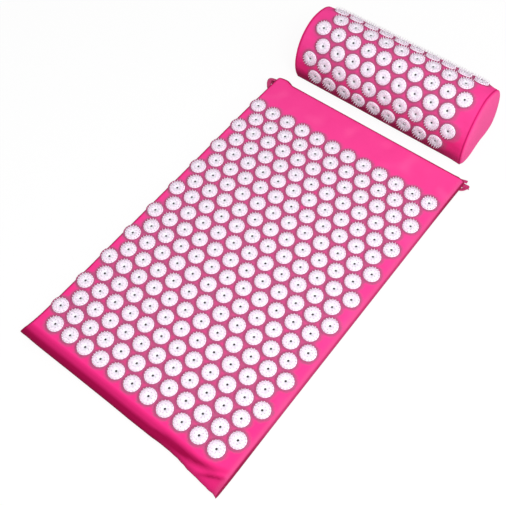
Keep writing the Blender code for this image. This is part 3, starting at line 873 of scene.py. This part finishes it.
def mat_paint(x, y):
    """Wear, painted shade of folds and edges, and painted shade by the discs, at a place of the flat
    plan.
    """
    plan_x, plan_y = cover_plan(x, y)
    # Dull painted shade between the discs, uneven, and along the right edge.
    uneven = 1 + DISC_SHADE_UNEVEN * wave(plan_x, plan_y, DISC_SHADE_CLOUD, seed=33.0)
    disc_shade = max(disc_shade_at(disc_tree.find((plan_x, plan_y, 0))[2]) * uneven,
               shade(MAT_HALF_WIDTH - x, *SIDE_DULL_SHADE))
    # Painted shade, a little deeper towards the foot half.
    to_foot = FOOT_HALF_SHADE * eased((-FOOT_HALF_SHADE_START - y) / FOOT_HALF_SHADE_RUN)
    # Painted shade in the folds and along the edges.
    painted_shade = groove_at(plan_x, plan_y) / FOLD_TO_SHADE + max(edge_shade(x, y), to_foot)
    wear = eased(wave(x, y, WEAR_LENGTH, seed=21.0)) * WEAR
    return wear, min(MOST_SHADE, max(0.0, painted_shade)), disc_shade


print("wear, fold and glue in the middle", mat_paint(0, 0))

# %% [markdown]
# ## The mat's cover
#
# Top and base are laid as two grids with the same lines, close together in the rolled edges. The
# rims are bridged, so the cover is one closed form.

# %% The mat's cover
CLOTH_STEP, CLOTH_ROLL = 0.0033, 0.0104
ROLL_SHARES = (0.0, 0.004, 0.015, 0.05, 0.11, 0.2, 0.31, 0.44, 0.6, 0.8, 1.0)


def cover_lines(half, low, high, spacing):
    """Lines from edge to edge: these gaps from both edges, and even ones between them."""
    start, end = -half + low[-1], half - high[-1]
    steps = round((end - start) / spacing)
    return ([-half + gap for gap in low[:-1]]
            + [start + (end - start) * step / steps for step in range(steps + 1)]
            + [half - gap for gap in reversed(high[:-1])])


def flat_lines(lines, half):
    """The same lines on the flat cloth, with the rolled edges laid out."""
    return walked([(line, rolled((half - abs(line)) / EDGE_REACH) * CLOTH_ROLL) for line in lines])


def mat_cover():
    bm = bmesh.new()
    edge, foot = ([reach * share for share in ROLL_SHARES] for reach in (EDGE_REACH, FOOT_REACH))
    across = cover_lines(MAT_HALF_WIDTH, edge, edge, CLOTH_STEP)
    along = cover_lines(MAT_HALF_LENGTH, foot, edge, CLOTH_STEP)
    flat_x, flat_y = flat_lines(across, MAT_HALF_WIDTH), flat_lines(along, MAT_HALF_LENGTH)
    print("each panel is cut to", round(2 * flat_x[-1], 3), "by", round(2 * flat_y[-1], 3), "m")
    for surface in (top_place, base_place):
        lay_cloth(bm, len(across) - 1, len(along) - 1,
                  lambda column, row: seam_in(surface(across[column], along[row]),
                                              across[column], along[row]),
                  lambda column, row: (flat_x[column], flat_y[row]),
                  lambda column, row: mat_paint(across[column], along[row]))
        bmesh.ops.reverse_faces(bm, faces=bm.faces[:])
    bmesh.ops.bridge_loops(bm, edges=[edge for edge in bm.edges if edge.is_boundary])
    shell_of(bm)
    print("mat cover volume", round(bm.calc_volume() * 1e6), "cm3, faces", len(bm.faces))
    return add_piece("mat_cover", bm, PINK_CLOTH, "mat",
                     ("mat_top_panel", "mat_base_panel"))


mat_cover()

# %% [markdown]
# ## Foam inside the covers
#
# Nobody sees the foam while the covers are closed, but it fills them. The two slabs keep the
# form of their solids, with sharp edges rounded by a little more than half a millimetre.

# %% Foam
FOAM_ROUND = 0.0006

for body in ("mat", "pillow"):
    node = body + "_foam_core"
    foam = add_piece(body + "_foam", rounded_solid(node, FOAM_ROUND), FOAM, body, (node,),
                     smooth=False)

# %% [markdown]
# ## One spiked disc
#
# A disc is a round plate with a small hole in its middle and two rings of spikes, the outer
# ring leaning outwards like the petals of a flower. There are 296 of them, so each spike is a
# three-sided cone, closed, and the plate has as few faces as its round edge allows. The painted
# reflection on the rim, the painted light on the spikes' tips, and the painted shade on the
# floor of the hole are painted on the points.

# %% One spiked disc
PLATE_THICKNESS, PLATE_SINK = 0.0012, 0.0005
PLATE_RADIUS, PLATE_TOP_RADIUS, HOLE_RADIUS, HOLE_DEPTH = 0.0138, 0.0133, 0.0019, 0.0011
DISC_HEIGHT = 0.0075
RIM_COUNT = 16
SPIKE_RINGS = ((RIM_COUNT, 0.0117, 0.0125, 0.0014), (8, 0.0068, 0.0070, 0.0011))
PAINTED_LIGHT_RADIUS, PAINTED_LIGHT_HEIGHT, PAINTED_LIGHT_FADE, SPIKE_PAINTED_LIGHT = 0.0085, 0.0015, 0.004, 0.7


def add_spike(bm, angle, foot_radius, tip_radius, thickness):
    """A three-sided cone from the plate to its tip, with its base closed."""
    length = DISC_HEIGHT - PLATE_THICKNESS / 2
    lean = atan2(tip_radius - foot_radius, length)
    place = (Matrix.Rotation(angle, 4, "Z")
             @ Matrix.Translation((foot_radius, 0, PLATE_THICKNESS / 2))
             @ Matrix.Rotation(lean, 4, "Y") @ Matrix.Translation((0, 0, length / 2)))
    bmesh.ops.create_cone(bm, cap_ends=True, cap_tris=False, segments=3, radius1=thickness,
                          radius2=0, depth=length, matrix=place)


def spiked_disc():
    bm = bmesh.new()
    hole, rim = bm.verts.layers.float.new("hole"), bm.verts.layers.float.new("rim")
    depth = PLATE_THICKNESS + PLATE_SINK
    bmesh.ops.create_cone(bm, cap_ends=True, segments=RIM_COUNT, radius1=PLATE_RADIUS,
                          radius2=PLATE_TOP_RADIUS, depth=depth,
                          matrix=Matrix.Translation((0, 0, depth / 2 - PLATE_SINK)))
    top = max(bm.faces, key=lambda face: face.calc_center_median().z)
    reach = (PLATE_TOP_RADIUS - HOLE_RADIUS) * cos(pi / RIM_COUNT)
    bmesh.ops.inset_region(bm, faces=[top], thickness=reach)
    bmesh.ops.collapse(bm, edges=list(top.edges)[::2])
    bmesh.ops.inset_region(bm, faces=[top], thickness=HOLE_RADIUS / 8)
    # The hole's floor is marked for painted shade.
    for vert in top.verts:
        vert.co.z -= HOLE_DEPTH
        vert[hole] = 1.0
    for count, foot_radius, tip_radius, thickness in SPIKE_RINGS:
        for index in range(count):
            add_spike(bm, 2 * pi * (index + 0.5) / count, foot_radius, tip_radius, thickness)
    shell_of(bm)
    # Painted light: a pink reflection of the cloth on the rim, and brighter tips on the spikes.
    for vert in bm.verts:
        vert[rim] = max(eased((vert.co.xy.length - PAINTED_LIGHT_RADIUS) / PAINTED_LIGHT_FADE),
                        SPIKE_PAINTED_LIGHT * eased((vert.co.z - PAINTED_LIGHT_HEIGHT) / PAINTED_LIGHT_FADE))
    return mesh_of("spiked_disc", bm)


DISC = spiked_disc()
print("one disc has", len(DISC.polygons), "faces")

# %% [markdown]
# ## Rows of discs
#
# The solids keep each row as one node, so each row of finished discs is one piece too. The disc
# is copied into the row, turned about its own axis by a seeded random angle, and set on the
# cloth. On the pillow the row also leans with the arch.

# %% Rows of discs
chance = random.Random(7)


def add_disc_row(node, places, body):
    bm = bmesh.new()
    for place in places:
        known = len(bm.verts)
        bm.from_mesh(DISC)
        bm.verts.ensure_lookup_table()
        turn = Matrix.Rotation(chance.uniform(0, 2 * pi), 4, "Z")
        bmesh.ops.transform(bm, matrix=place @ turn, verts=bm.verts[known:])
    return add_piece(node.replace("disc_row", "spiked_discs"), bm, WHITE_PLASTIC, body,
                     (node,))


def arch_disc_place(x, angle):
    """A disc's place on the pillow, leaning with the arch."""
    out = arch_normal(angle)
    place = arch_point(angle) + Vector((x, 0, 0))
    return Matrix.Translation(place) @ Matrix.Rotation(atan2(-out.y, out.z), 4, "X")


mat_places = {node: [Matrix.Translation((x, y, MAT_TOP)) for x, y in spots]
              for node, spots in mat_rows.items()}
pillow_places = {node: [arch_disc_place(x, angle) for x, angle in spots]
                 for node, spots in pillow_rows.items()}
for body, rows in (("mat", mat_places), ("pillow", pillow_places)):
    for node, places in rows.items():
        add_disc_row(node, places, body)

# %% [markdown]
# ## Shade rings
#
# The discs are glued on. A ring of painted shadow shows round every disc, where the plate's
# contact shadow falls on the cloth. The rings are thin collars of the same cloth. Their painted
# values make them dark with painted shadow next to the plate, and as dull as the painted shade
# of the cloth about them further out.

# %% Shade rings
RING_INNER, RING_OUTER, RING_LOW, RING_HIGH = 0.0130, 0.0166, 0.00012, 0.0008
RING_THICKNESS, RING_SHADE, RING_DISC_SHADE = 0.0003, 0.42, 1.0


def add_shade_ring(bm, painted_shade, disc_shade, uv, place):
    known_verts, known_faces = len(bm.verts), len(bm.faces)
    between, height = (RING_INNER + RING_OUTER) / 2, (RING_LOW + RING_HIGH) / 2
    for base in (height, height - RING_THICKNESS):
        bmesh.ops.create_cone(bm, cap_ends=False, segments=RIM_COUNT, radius1=RING_INNER,
                              radius2=RING_OUTER, depth=RING_HIGH - RING_LOW,
                              matrix=Matrix.Translation((0, 0, base)))
    bm.verts.ensure_lookup_table()
    bm.faces.ensure_lookup_table()
    verts, faces = bm.verts[known_verts:], bm.faces[known_faces:]
    rims = {True: set(), False: set()}
    for edge in {edge for face in faces for edge in face.edges}:
        inside = {vert.co.xy.length < between for vert in edge.verts}
        if len(inside) == 1:
            rims[inside.pop()].add(edge)
    for rim in rims.values():
        bmesh.ops.bridge_loops(bm, edges=list(rim))
    for vert in verts:
        inside = vert.co.xy.length < between
        # Painted shadow next to the plate, and the dull painted shade of the cloth further out.
        vert[painted_shade], vert[disc_shade] = (RING_SHADE, RING_DISC_SHADE) if inside else (0.0, FIELD_SHADE)
    bm.faces.ensure_lookup_table()
    for face in bm.faces[known_faces:]:
        for loop in face.loops:
            loop[uv].uv = (place @ loop.vert.co).xy
    bmesh.ops.transform(bm, matrix=place, verts=verts)


def add_shade_rings(name, rows, body):
    bm = bmesh.new()
    painted_shade, disc_shade = bm.verts.layers.float.new("painted_shade"), bm.verts.layers.float.new("disc_shade")
    uv = bm.loops.layers.uv.new(CLOTH_MAP)
    for places in rows.values():
        for place in places:
            add_shade_ring(bm, painted_shade, disc_shade, uv, place)
    bmesh.ops.recalc_face_normals(bm, faces=bm.faces[:])
    add_piece(name, bm, PINK_CLOTH, body)


add_shade_rings("mat_shade_rings", mat_places, "mat")
add_shade_rings("pillow_shade_rings", pillow_places, "pillow")

# %% [markdown]
# ## Section of the pillow
#
# The pillow is a foam half-round, 37 cm long, in a cover of the same cloth. Its section is a ring
# of points, from the front over the arch to the back and along the base. Each place on the cloth
# is found by its X and its step round the ring, and a tree of all discs gives the nearest one.

# %% Section of the pillow
ARCH_STEPS, BASE_STEPS = 88, 26

floor_angle = asin(-BELLY / ARCH_RISE)
arch_angles = [floor_angle + (pi - 2 * floor_angle) * step / ARCH_STEPS
               for step in range(ARCH_STEPS + 1)]
section = [arch_point(angle) for angle in arch_angles]
section += [section[-1].lerp(section[0], step / BASE_STEPS) for step in range(1, BASE_STEPS + 1)]
section_length = walked([tuple(point.yz) for point in section])


def section_normal(step):
    """Direction out of the section, level in X, at a step."""
    return arch_normal(arch_angles[step]) if step <= ARCH_STEPS else Vector((0, 0, -1))


def length_at(angle):
    """Place along the section of an angle of the arch."""
    share = (angle - floor_angle) / (pi - 2 * floor_angle) * ARCH_STEPS
    step = int(share)
    return section_length[step] + (share - step) * (section_length[step + 1] - section_length[step])


spots = [spot for row in pillow_rows.values() for spot in row]
pillow_tree = tree_of([(x, length_at(angle)) for x, angle in spots])
print("the cloth round the pillow is", round(2 * section_length[-1], 3), "m long")

# %% [markdown]
# ## Surface of the pillow's cover
#
# An arch panel and a base panel go round the pillow, and a slightly domed panel closes each end.
# The seams at the ends draw the cloth in, with small gathers beside them. Under each disc the foam
# is pressed flat, and the cloth swells between them, so the arch is made of many small flats. The
# right end stands out a little at the front.

# %% Surface of the pillow's cover
PILLOW_SEAM_HALF, PILLOW_DOME, DOME_POWER, DOME_CENTRE = 0.173, 0.010, 2.5, 0.0132
SEAM_DEPTH, SEAM_WIDTH = 0.0009, 0.0014
MOST_SAG, MOST_DENT = 0.0020, -0.0009
FLAT_RADIUS, FLAT_FADE = 0.0145, 0.006
SWELL_HEIGHT, SWELL_LENGTH, SWELL_START, SWELL_FLOOR = 0.0009, 0.05, 0.018, 0.03
GATHER_DEPTH, GATHER_LENGTH, GATHER_REACH = 0.00035, 0.012, 0.010
GATHER_SHIFT, GATHER_SHIFT_LENGTH = 4, 0.03
RIM_FADE, DOME_WAVE, DOME_WAVE_LENGTH = 0.0016, 0.0008, 0.04
RIGHT_SLANT, SLANT_START, SLANT_RUN = 0.0055, 0.08, 0.09
RIGHT_PULL, PULL_START, PULL_RUN = 0.002, 0.145, 0.025


def length_to_floor(step):
    """Way along the cloth to the nearer edge on the floor."""
    return min(section_length[step] - section_length[0],
               section_length[ARCH_STEPS] - section_length[step])


def swell(x, step):
    """How far the cloth stands off the plain arch."""
    if step >= ARCH_STEPS:
        return 0.0
    length = section_length[step]
    _, index, to_disc = pillow_tree.find((x, length, 0))
    angle = spots[index][1]
    sag = min(MOST_SAG, max(0.0, (arch_point(angle) - section[step]).dot(arch_normal(angle))))
    beside = bell(max(0.0, to_disc - FLAT_RADIUS), FLAT_FADE)
    puff = DISC_DIMPLE * eased((to_disc - DISC_EDGE) / DIMPLE_FADE)
    free = (eased((to_disc - SWELL_START) / BORDER_FADE)
            * rolled(length_to_floor(step) / SWELL_FLOOR))
    return ((sag + puff) * beside
            + free * SWELL_HEIGHT * wave(x, length, SWELL_LENGTH, seed=11.0))


def gathers(gap, step):
    """The seam's groove and the small gathers beside it."""
    length = section_length[step]
    shift = GATHER_SHIFT * wave(length, 0, GATHER_SHIFT_LENGTH, seed=5.0)
    pull = sin(2 * pi * length / GATHER_LENGTH + shift)
    return (SEAM_DEPTH * bell(gap, SEAM_WIDTH)
            + GATHER_DEPTH * (1 + pull) * exp(-gap / GATHER_REACH))


def body_place(x, step):
    """Place on the arch or the base, at x from the pillow's middle."""
    out = swell(x + PILLOW_SHIFT, step) - gathers(PILLOW_SEAM_HALF - abs(x), step)
    if step >= ARCH_STEPS or step == 0:
        out = 0.0
    place = section[step] + section_normal(step) * max(MOST_DENT, out)
    place.x = x + PILLOW_SHIFT
    return place


def end_place(side, step, share):
    """Place on the domed end: at share 1 it is the seam, at share 0 the middle."""
    centre = Vector((0, PILLOW_Y, DOME_CENTRE))
    rise = (1 - share ** DOME_POWER) ** (1 / DOME_POWER)
    seam = body_place(side * PILLOW_SEAM_HALF, step)
    to_seam = (1 - share) * ARCH_DEPTH + rise * PILLOW_DOME
    rim = section[step].lerp(seam, exp(-to_seam / RIM_FADE))
    place = centre + (rim - centre) * share
    place.x = PILLOW_SHIFT + side * (PILLOW_SEAM_HALF + PILLOW_DOME * rise)
    place.x += side * DOME_WAVE * wave(place.y, place.z, DOME_WAVE_LENGTH, seed=2.0 + side) * rise
    return place


def slanted(place):
    """The right end stands out a little at the front."""
    share = eased((place.x - SLANT_START) / SLANT_RUN)
    front = max(0.0, (PILLOW_Y - place.y) / ARCH_DEPTH)
    past = eased((place.x - PULL_START) / PULL_RUN)
    return place + Vector((RIGHT_SLANT * share, -RIGHT_PULL * past, 0)) * front


front_corner = Vector((PILLOW_SHIFT + PILLOW_SEAM_HALF, PILLOW_Y - ARCH_DEPTH, 0))
moved = (slanted(front_corner) - front_corner).length
print("the right end stands out", round(moved * 1000, 1), "mm at the front")

# %% [markdown]
# ## The pillow's cover
#
# The arch and the base are one grid round the pillow, and each end is a grid of rings. Their
# seams are merged, so the cover is closed, and its points along the floor are smoothed, which
# rounds the sharp edge there. The seams carry painted shade, the front carries painted shade
# that deepens towards the floor, and the ends are painted paler, as painted light.

# %% The pillow's cover
END_RINGS = (1.0, 0.997, 0.99, 0.975, 0.95, 0.915, 0.87, 0.81, 0.73, 0.63, 0.5, 0.36, 0.2, 0.0)
END_LINES = (0.0, 0.0007, 0.0016, 0.003, 0.005, 0.008, 0.012)
PILLOW_STEP = 0.0042
SEAM_SHADE, SEAM_SHADE_WIDTH, END_SHADE_WIDTH, LIT_END_REACH = 0.60, 0.0010, 0.0006, 0.004
LOW_SHADE, HIGH_SHADE = (0.82, 0.050, 0.040), (0.26, 0.085, 0.040)
PALER_START, PALER_RUN, PALER_SHARE = 0.120, 0.050, 0.34 / LOW_SHADE[0]
# Share of the dull painted shade round the discs on the pillow.
PILLOW_DISC_SHADE = 0.7
CORNER_LOW, CORNER_HIGH, CORNER_ROUNDS = 0.0001, 0.007, 3


def pillow_cover():
    bm = bmesh.new()
    lines = cover_lines(PILLOW_SEAM_HALF, END_LINES, END_LINES, PILLOW_STEP)

    def body_paint(column, row):
        gap, height = PILLOW_SEAM_HALF - abs(lines[column]), section[row].z
        place = (lines[column] + PILLOW_SHIFT, section_length[row], 0)
        # Painted shade low on the front, less of it towards the right end, and along the seams.
        to_right = eased((lines[column] - PALER_START) / PALER_RUN)
        low = max(shade(height, *LOW_SHADE) * (1 - PALER_SHARE * to_right),
                  shade(height, *HIGH_SHADE)) if section[row].y < PILLOW_Y else 0.0
        return (0.0, max(SEAM_SHADE * bell(gap, SEAM_SHADE_WIDTH), low),
                PILLOW_DISC_SHADE * disc_shade_at(pillow_tree.find(place)[2]))

    def end_paint(column, row):
        # Both ends are painted paler as light, except by the seam, which carries painted shade.
        gap = (1 - END_RINGS[row]) * ARCH_DEPTH
        return eased(gap / LIT_END_REACH), SEAM_SHADE * bell(gap, END_SHADE_WIDTH), 0.0

    lay_cloth(bm, len(lines) - 1, len(section) - 1,
              lambda column, row: slanted(body_place(lines[column], row)),
              lambda column, row: (lines[column], section_length[row]), body_paint)
    for side in (-1, 1):
        lay_cloth(bm, len(section) - 1, len(END_RINGS) - 1,
                  lambda column, row: slanted(end_place(side, column, END_RINGS[row])),
                  lambda column, row: tuple(section[column].yz * END_RINGS[row]), end_paint)
    shell_of(bm)
    corners = [vert for vert in bm.verts if CORNER_LOW < vert.co.z < CORNER_HIGH]
    for _ in range(CORNER_ROUNDS):
        bmesh.ops.smooth_vert(bm, verts=corners, factor=0.5, use_axis_x=False, use_axis_y=True,
                              use_axis_z=True)
    open_edges = sum(edge.is_boundary for edge in bm.edges)
    print("pillow cover volume", round(bm.calc_volume() * 1e6), "cm3, open edges", open_edges)
    return add_piece("pillow_cover", bm, PINK_CLOTH, "pillow",
                     ("pillow_arch_panel", "pillow_base_panel", "pillow_end_panel_left",
                      "pillow_end_panel_right"))


pillow_cover()

# %% [markdown]
# ## Paths of the mat's zip tapes
#
# A zip closes the mat's head edge, and another the pillow's back. The mat's tapes are longer than
# the edge. At the left corner their ends turn round the corner in a loop, and at the right corner
# the upper end sticks out while the lower one curls back. A path is a few points, seen from
# above, and a smooth curve through them.

# %% Paths of the mat's zip tapes
PATH_STEP = 0.0015
LEFT_LOOP = ((-0.2000, 0.3020), (-0.2060, 0.3060), (-0.2108, 0.3120), (-0.2138, 0.3190),
             (-0.2132, 0.3235), (-0.2095, 0.3264), (-0.2020, 0.3284), (-0.1940, 0.3298),
             (-0.1850, 0.3306), (-0.1720, 0.3312), (-0.1550, 0.3313))
MIDDLE_PATH = ((-0.100, 0.3313), (0.100, 0.3313))
RIGHT_TAB = ((0.1700, 0.3313), (0.1850, 0.3316), (0.1950, 0.3328), (0.2010, 0.3346),
             (0.2060, 0.3356))
RIGHT_CURL = ((0.1700, 0.3313), (0.1900, 0.3313), (0.1985, 0.3308), (0.2060, 0.3312),
              (0.2116, 0.3314), (0.2136, 0.3280), (0.2115, 0.3215), (0.2080, 0.3165),
              (0.2030, 0.3130))


def smooth_path(points, spacing):
    """Points about this far apart on a smooth curve through these ones."""
    fine = []
    knots = [Vector(point) for point in (points[0], *points, points[-1])]
    for a, b, c, d in zip(knots, knots[1:], knots[2:], knots[3:]):
        steps = max(1, round((c - b).length / spacing))
        for step in range(steps):
            t = step / steps
            fine.append(0.5 * (2 * b + (c - a) * t + (2 * a - 5 * b + 4 * c - d) * t * t
                               + (3 * b - a - 3 * c + d) * t ** 3))
    return fine + [Vector(points[-1])]


upper_line = smooth_path(LEFT_LOOP + MIDDLE_PATH + RIGHT_TAB, PATH_STEP)
print("the upper tape's path has", len(upper_line), "points")

# %% [markdown]
# ## Where the tapes lie on the edges
#
# A tape leans with the rounded edge it is sewn to, so its place in depth follows from the form of
# that edge: the mat's roll above the seam, the one below it, and the pillow's back.

# %% Where the tapes lie on the edges
BASE_SPARE = 0.0005


def edge_inset(height, full, reach):
    """How far a rounded edge stands in at a height."""
    return reach * (1 - (1 - (height / full) ** ROLL_POWER) ** (1 / ROLL_POWER))


def upper_inset(height):
    return edge_inset(height, MAT_TOP - SEAM_HEIGHT, EDGE_REACH)


def lower_inset(height):
    return edge_inset(height, SEAM_HEIGHT + BASE_SPARE, BASE_REACH)


def back_inset(height):
    """How far the pillow's back stands in at a height above or below the zip."""
    return ARCH_DEPTH * (1 - (1 - (height / ARCH_RISE) ** 2) ** 0.5)


half_way = upper_inset((MAT_TOP - SEAM_HEIGHT) / 2)
print("half way up, the mat's edge stands in", round(half_way * 1000, 2), "mm")

# %% [markdown]
# ## Zip tapes
#
# Each zip has two tapes of twill, one above and one below the coil. A tape is a strip along its
# path. Past the zip its free ends fall over and lie nearly flat. Solidify gives it its thickness.

# %% Zip tapes
GAP = 0.0003
COIL_HALF, TAPE_REACH, TAPE_THICKNESS = 0.0022, 0.0066, 0.0006
TAPE_ROWS = 5
MAT_ZIP_HALF, PILLOW_ZIP_HALF, PILLOW_TAPE_HALF = 0.180, 0.140, 0.150
END_START, END_REACH, END_LEAN, END_SPREAD = 0.188, 0.012, radians(72), 0.8


def add_tape(name, node, body, path, level, side, inset_at):
    """A tape along a path; side is 1 for the upper tape and -1 for the lower one."""
    line = smooth_path(path, PATH_STEP)
    lengths = walked([tuple(point) for point in line])
    print(name, round(2 * lengths[-1], 3), "m long")
    near = COIL_HALF + GAP
    heights = [near + (TAPE_REACH - near) * row / TAPE_ROWS for row in range(TAPE_ROWS + 1)]

    def point(column, row):
        before, after = line[max(0, column - 1)], line[min(len(line) - 1, column + 1)]
        along = (after - before).normalized()
        share = eased((abs(line[column].x) - END_START) / END_REACH)
        lean, wide = END_LEAN * share, (heights[row] - near) * (1 + END_SPREAD * share)
        inward = inset_at(heights[row]) * cos(lean) + wide * sin(lean)
        place = line[column] - Vector((-along.y, along.x)) * inward
        return Vector((place.x, place.y, level + side * (near + wide * cos(lean))))

    bm = bmesh.new()
    lay_cloth(bm, len(line) - 1, TAPE_ROWS, point,
              lambda column, row: (lengths[column], heights[row]))
    piece = add_piece(name, bm, TAPE_CLOTH, body, (node,))
    thick = piece.modifiers.new("thickness", "SOLIDIFY")
    thick.thickness = TAPE_THICKNESS
    thick.offset = 0.0
    thick.use_even_offset = True


pillow_back = PILLOW_Y + ARCH_DEPTH + GAP + TAPE_THICKNESS / 2
pillow_path = [(PILLOW_SHIFT + x, pillow_back) for x in (-PILLOW_TAPE_HALF, 0, PILLOW_TAPE_HALF)]
mat_tapes = (("upper", 1, MIDDLE_PATH + RIGHT_TAB, upper_inset),
             ("lower", -1, MIDDLE_PATH + RIGHT_CURL, lower_inset))
for name, side, path, inset_at in mat_tapes:
    add_tape(f"mat_zip_{name}_tape", f"mat_zip_tape_{name}", "mat", LEFT_LOOP + path,
             SEAM_HEIGHT, side, inset_at)
for name, side, *_ in mat_tapes:
    add_tape(f"pillow_zip_{name}_tape", f"pillow_zip_tape_{name}", "pillow", pillow_path, BELLY,
             side, back_inset)

# %% [markdown]
# ## Zip coils and stitches
#
# A coil zip has two spirals of nylon that lock into each other. From outside they are two rows of
# short ribs that meet in the middle, half a step apart. Each rib is a stretched ball with twenty
# faces. The same ball, long and thin, makes the stitches that hold the tapes.

# %% Zip coils and stitches
COIL_PITCH, COIL_DEPTH, BED_THICKNESS, BED_HEIGHT = 0.0013, 0.0016, 0.0006, 0.0036
RIB_LENGTH, RIB_HEIGHT, RIB_LEVEL = 0.00115, 0.0025, 0.00095
STITCH_PITCH, STITCH_LENGTH, STITCH_WIDTH = 0.0034, 0.0026, 0.0005
STITCH_TO_EDGE, STITCH_END, STITCH_SUNK_SHARE = 0.0012, 0.025, 0.2


def add_ball(bm, place, size):
    matrix = Matrix.Translation(place) @ Matrix.Diagonal((*size, 1))
    bmesh.ops.create_icosphere(bm, subdivisions=1, radius=0.5, matrix=matrix)


def add_coil(prefix, body, middle, half):
    bm = bmesh.new()
    bed = Matrix.Translation(middle + Vector((0, GAP + BED_THICKNESS / 2, 0)))
    bed_size = Matrix.Diagonal((2 * half, BED_THICKNESS, BED_HEIGHT, 1))
    bmesh.ops.create_cube(bm, size=1.0, matrix=bed @ bed_size)
    for index in range(int(2 * half / COIL_PITCH)):
        for side in (-1, 1):
            x = -half + COIL_PITCH * (index + 0.5 + 0.25 * side)
            place = middle + Vector((x, GAP + COIL_DEPTH / 2, side * RIB_LEVEL))
            add_ball(bm, place, (RIB_LENGTH, COIL_DEPTH, RIB_HEIGHT))
    add_piece(prefix + "_coil_ribs", bm, NYLON, body, (prefix + "_coil",))


def add_stitches(prefix, body, middle, half, inset_at):
    bm = bmesh.new()
    height = TAPE_REACH - STITCH_TO_EDGE
    out = GAP + TAPE_THICKNESS + STITCH_WIDTH * STITCH_SUNK_SHARE
    for index in range(int(2 * half / STITCH_PITCH)):
        x = -half + STITCH_PITCH * (index + 0.5)
        for side in (-1, 1):
            place = middle + Vector((x, out - inset_at[side](height), side * height))
            add_ball(bm, place, (STITCH_LENGTH, STITCH_WIDTH, STITCH_WIDTH))
    add_piece(prefix + "_stitches", bm, NYLON, body)


mat_zip = Vector((0, MAT_HALF_LENGTH, SEAM_HEIGHT))
pillow_zip = Vector((PILLOW_SHIFT, PILLOW_Y + ARCH_DEPTH, BELLY))
add_coil("mat_zip", "mat", mat_zip, MAT_ZIP_HALF)
add_coil("pillow_zip", "pillow", pillow_zip, PILLOW_ZIP_HALF)
add_stitches("mat_zip", "mat", mat_zip, MAT_ZIP_HALF - STITCH_END,
             {1: upper_inset, -1: lower_inset})
add_stitches("pillow_zip", "pillow", pillow_zip, PILLOW_ZIP_HALF, {1: back_inset, -1: back_inset})

# %% [markdown]
# ## Metal pieces of the zips
#
# The stops, sliders and pulls are small zinc castings. Their solids have the right form with
# sharp edges, so each copy's edges are rounded by a fifth of a millimetre. The rounding catches
# the light, as on the real casting.

# %% Metal pieces of the zips
CAST_ROUND = 0.0002

for prefix, body in (("mat_zip", "mat"), ("pillow_zip", "pillow")):
    for name in ("top_stop", "bottom_stop", "slider", "pull"):
        node = f"{prefix}_{name}"
        rides_on = body if name.endswith("stop") else node
        add_piece(node + "_cast", rounded_solid(node, CAST_ROUND, clamp=True), ZINC, rides_on,
                  (node,), smooth=False)
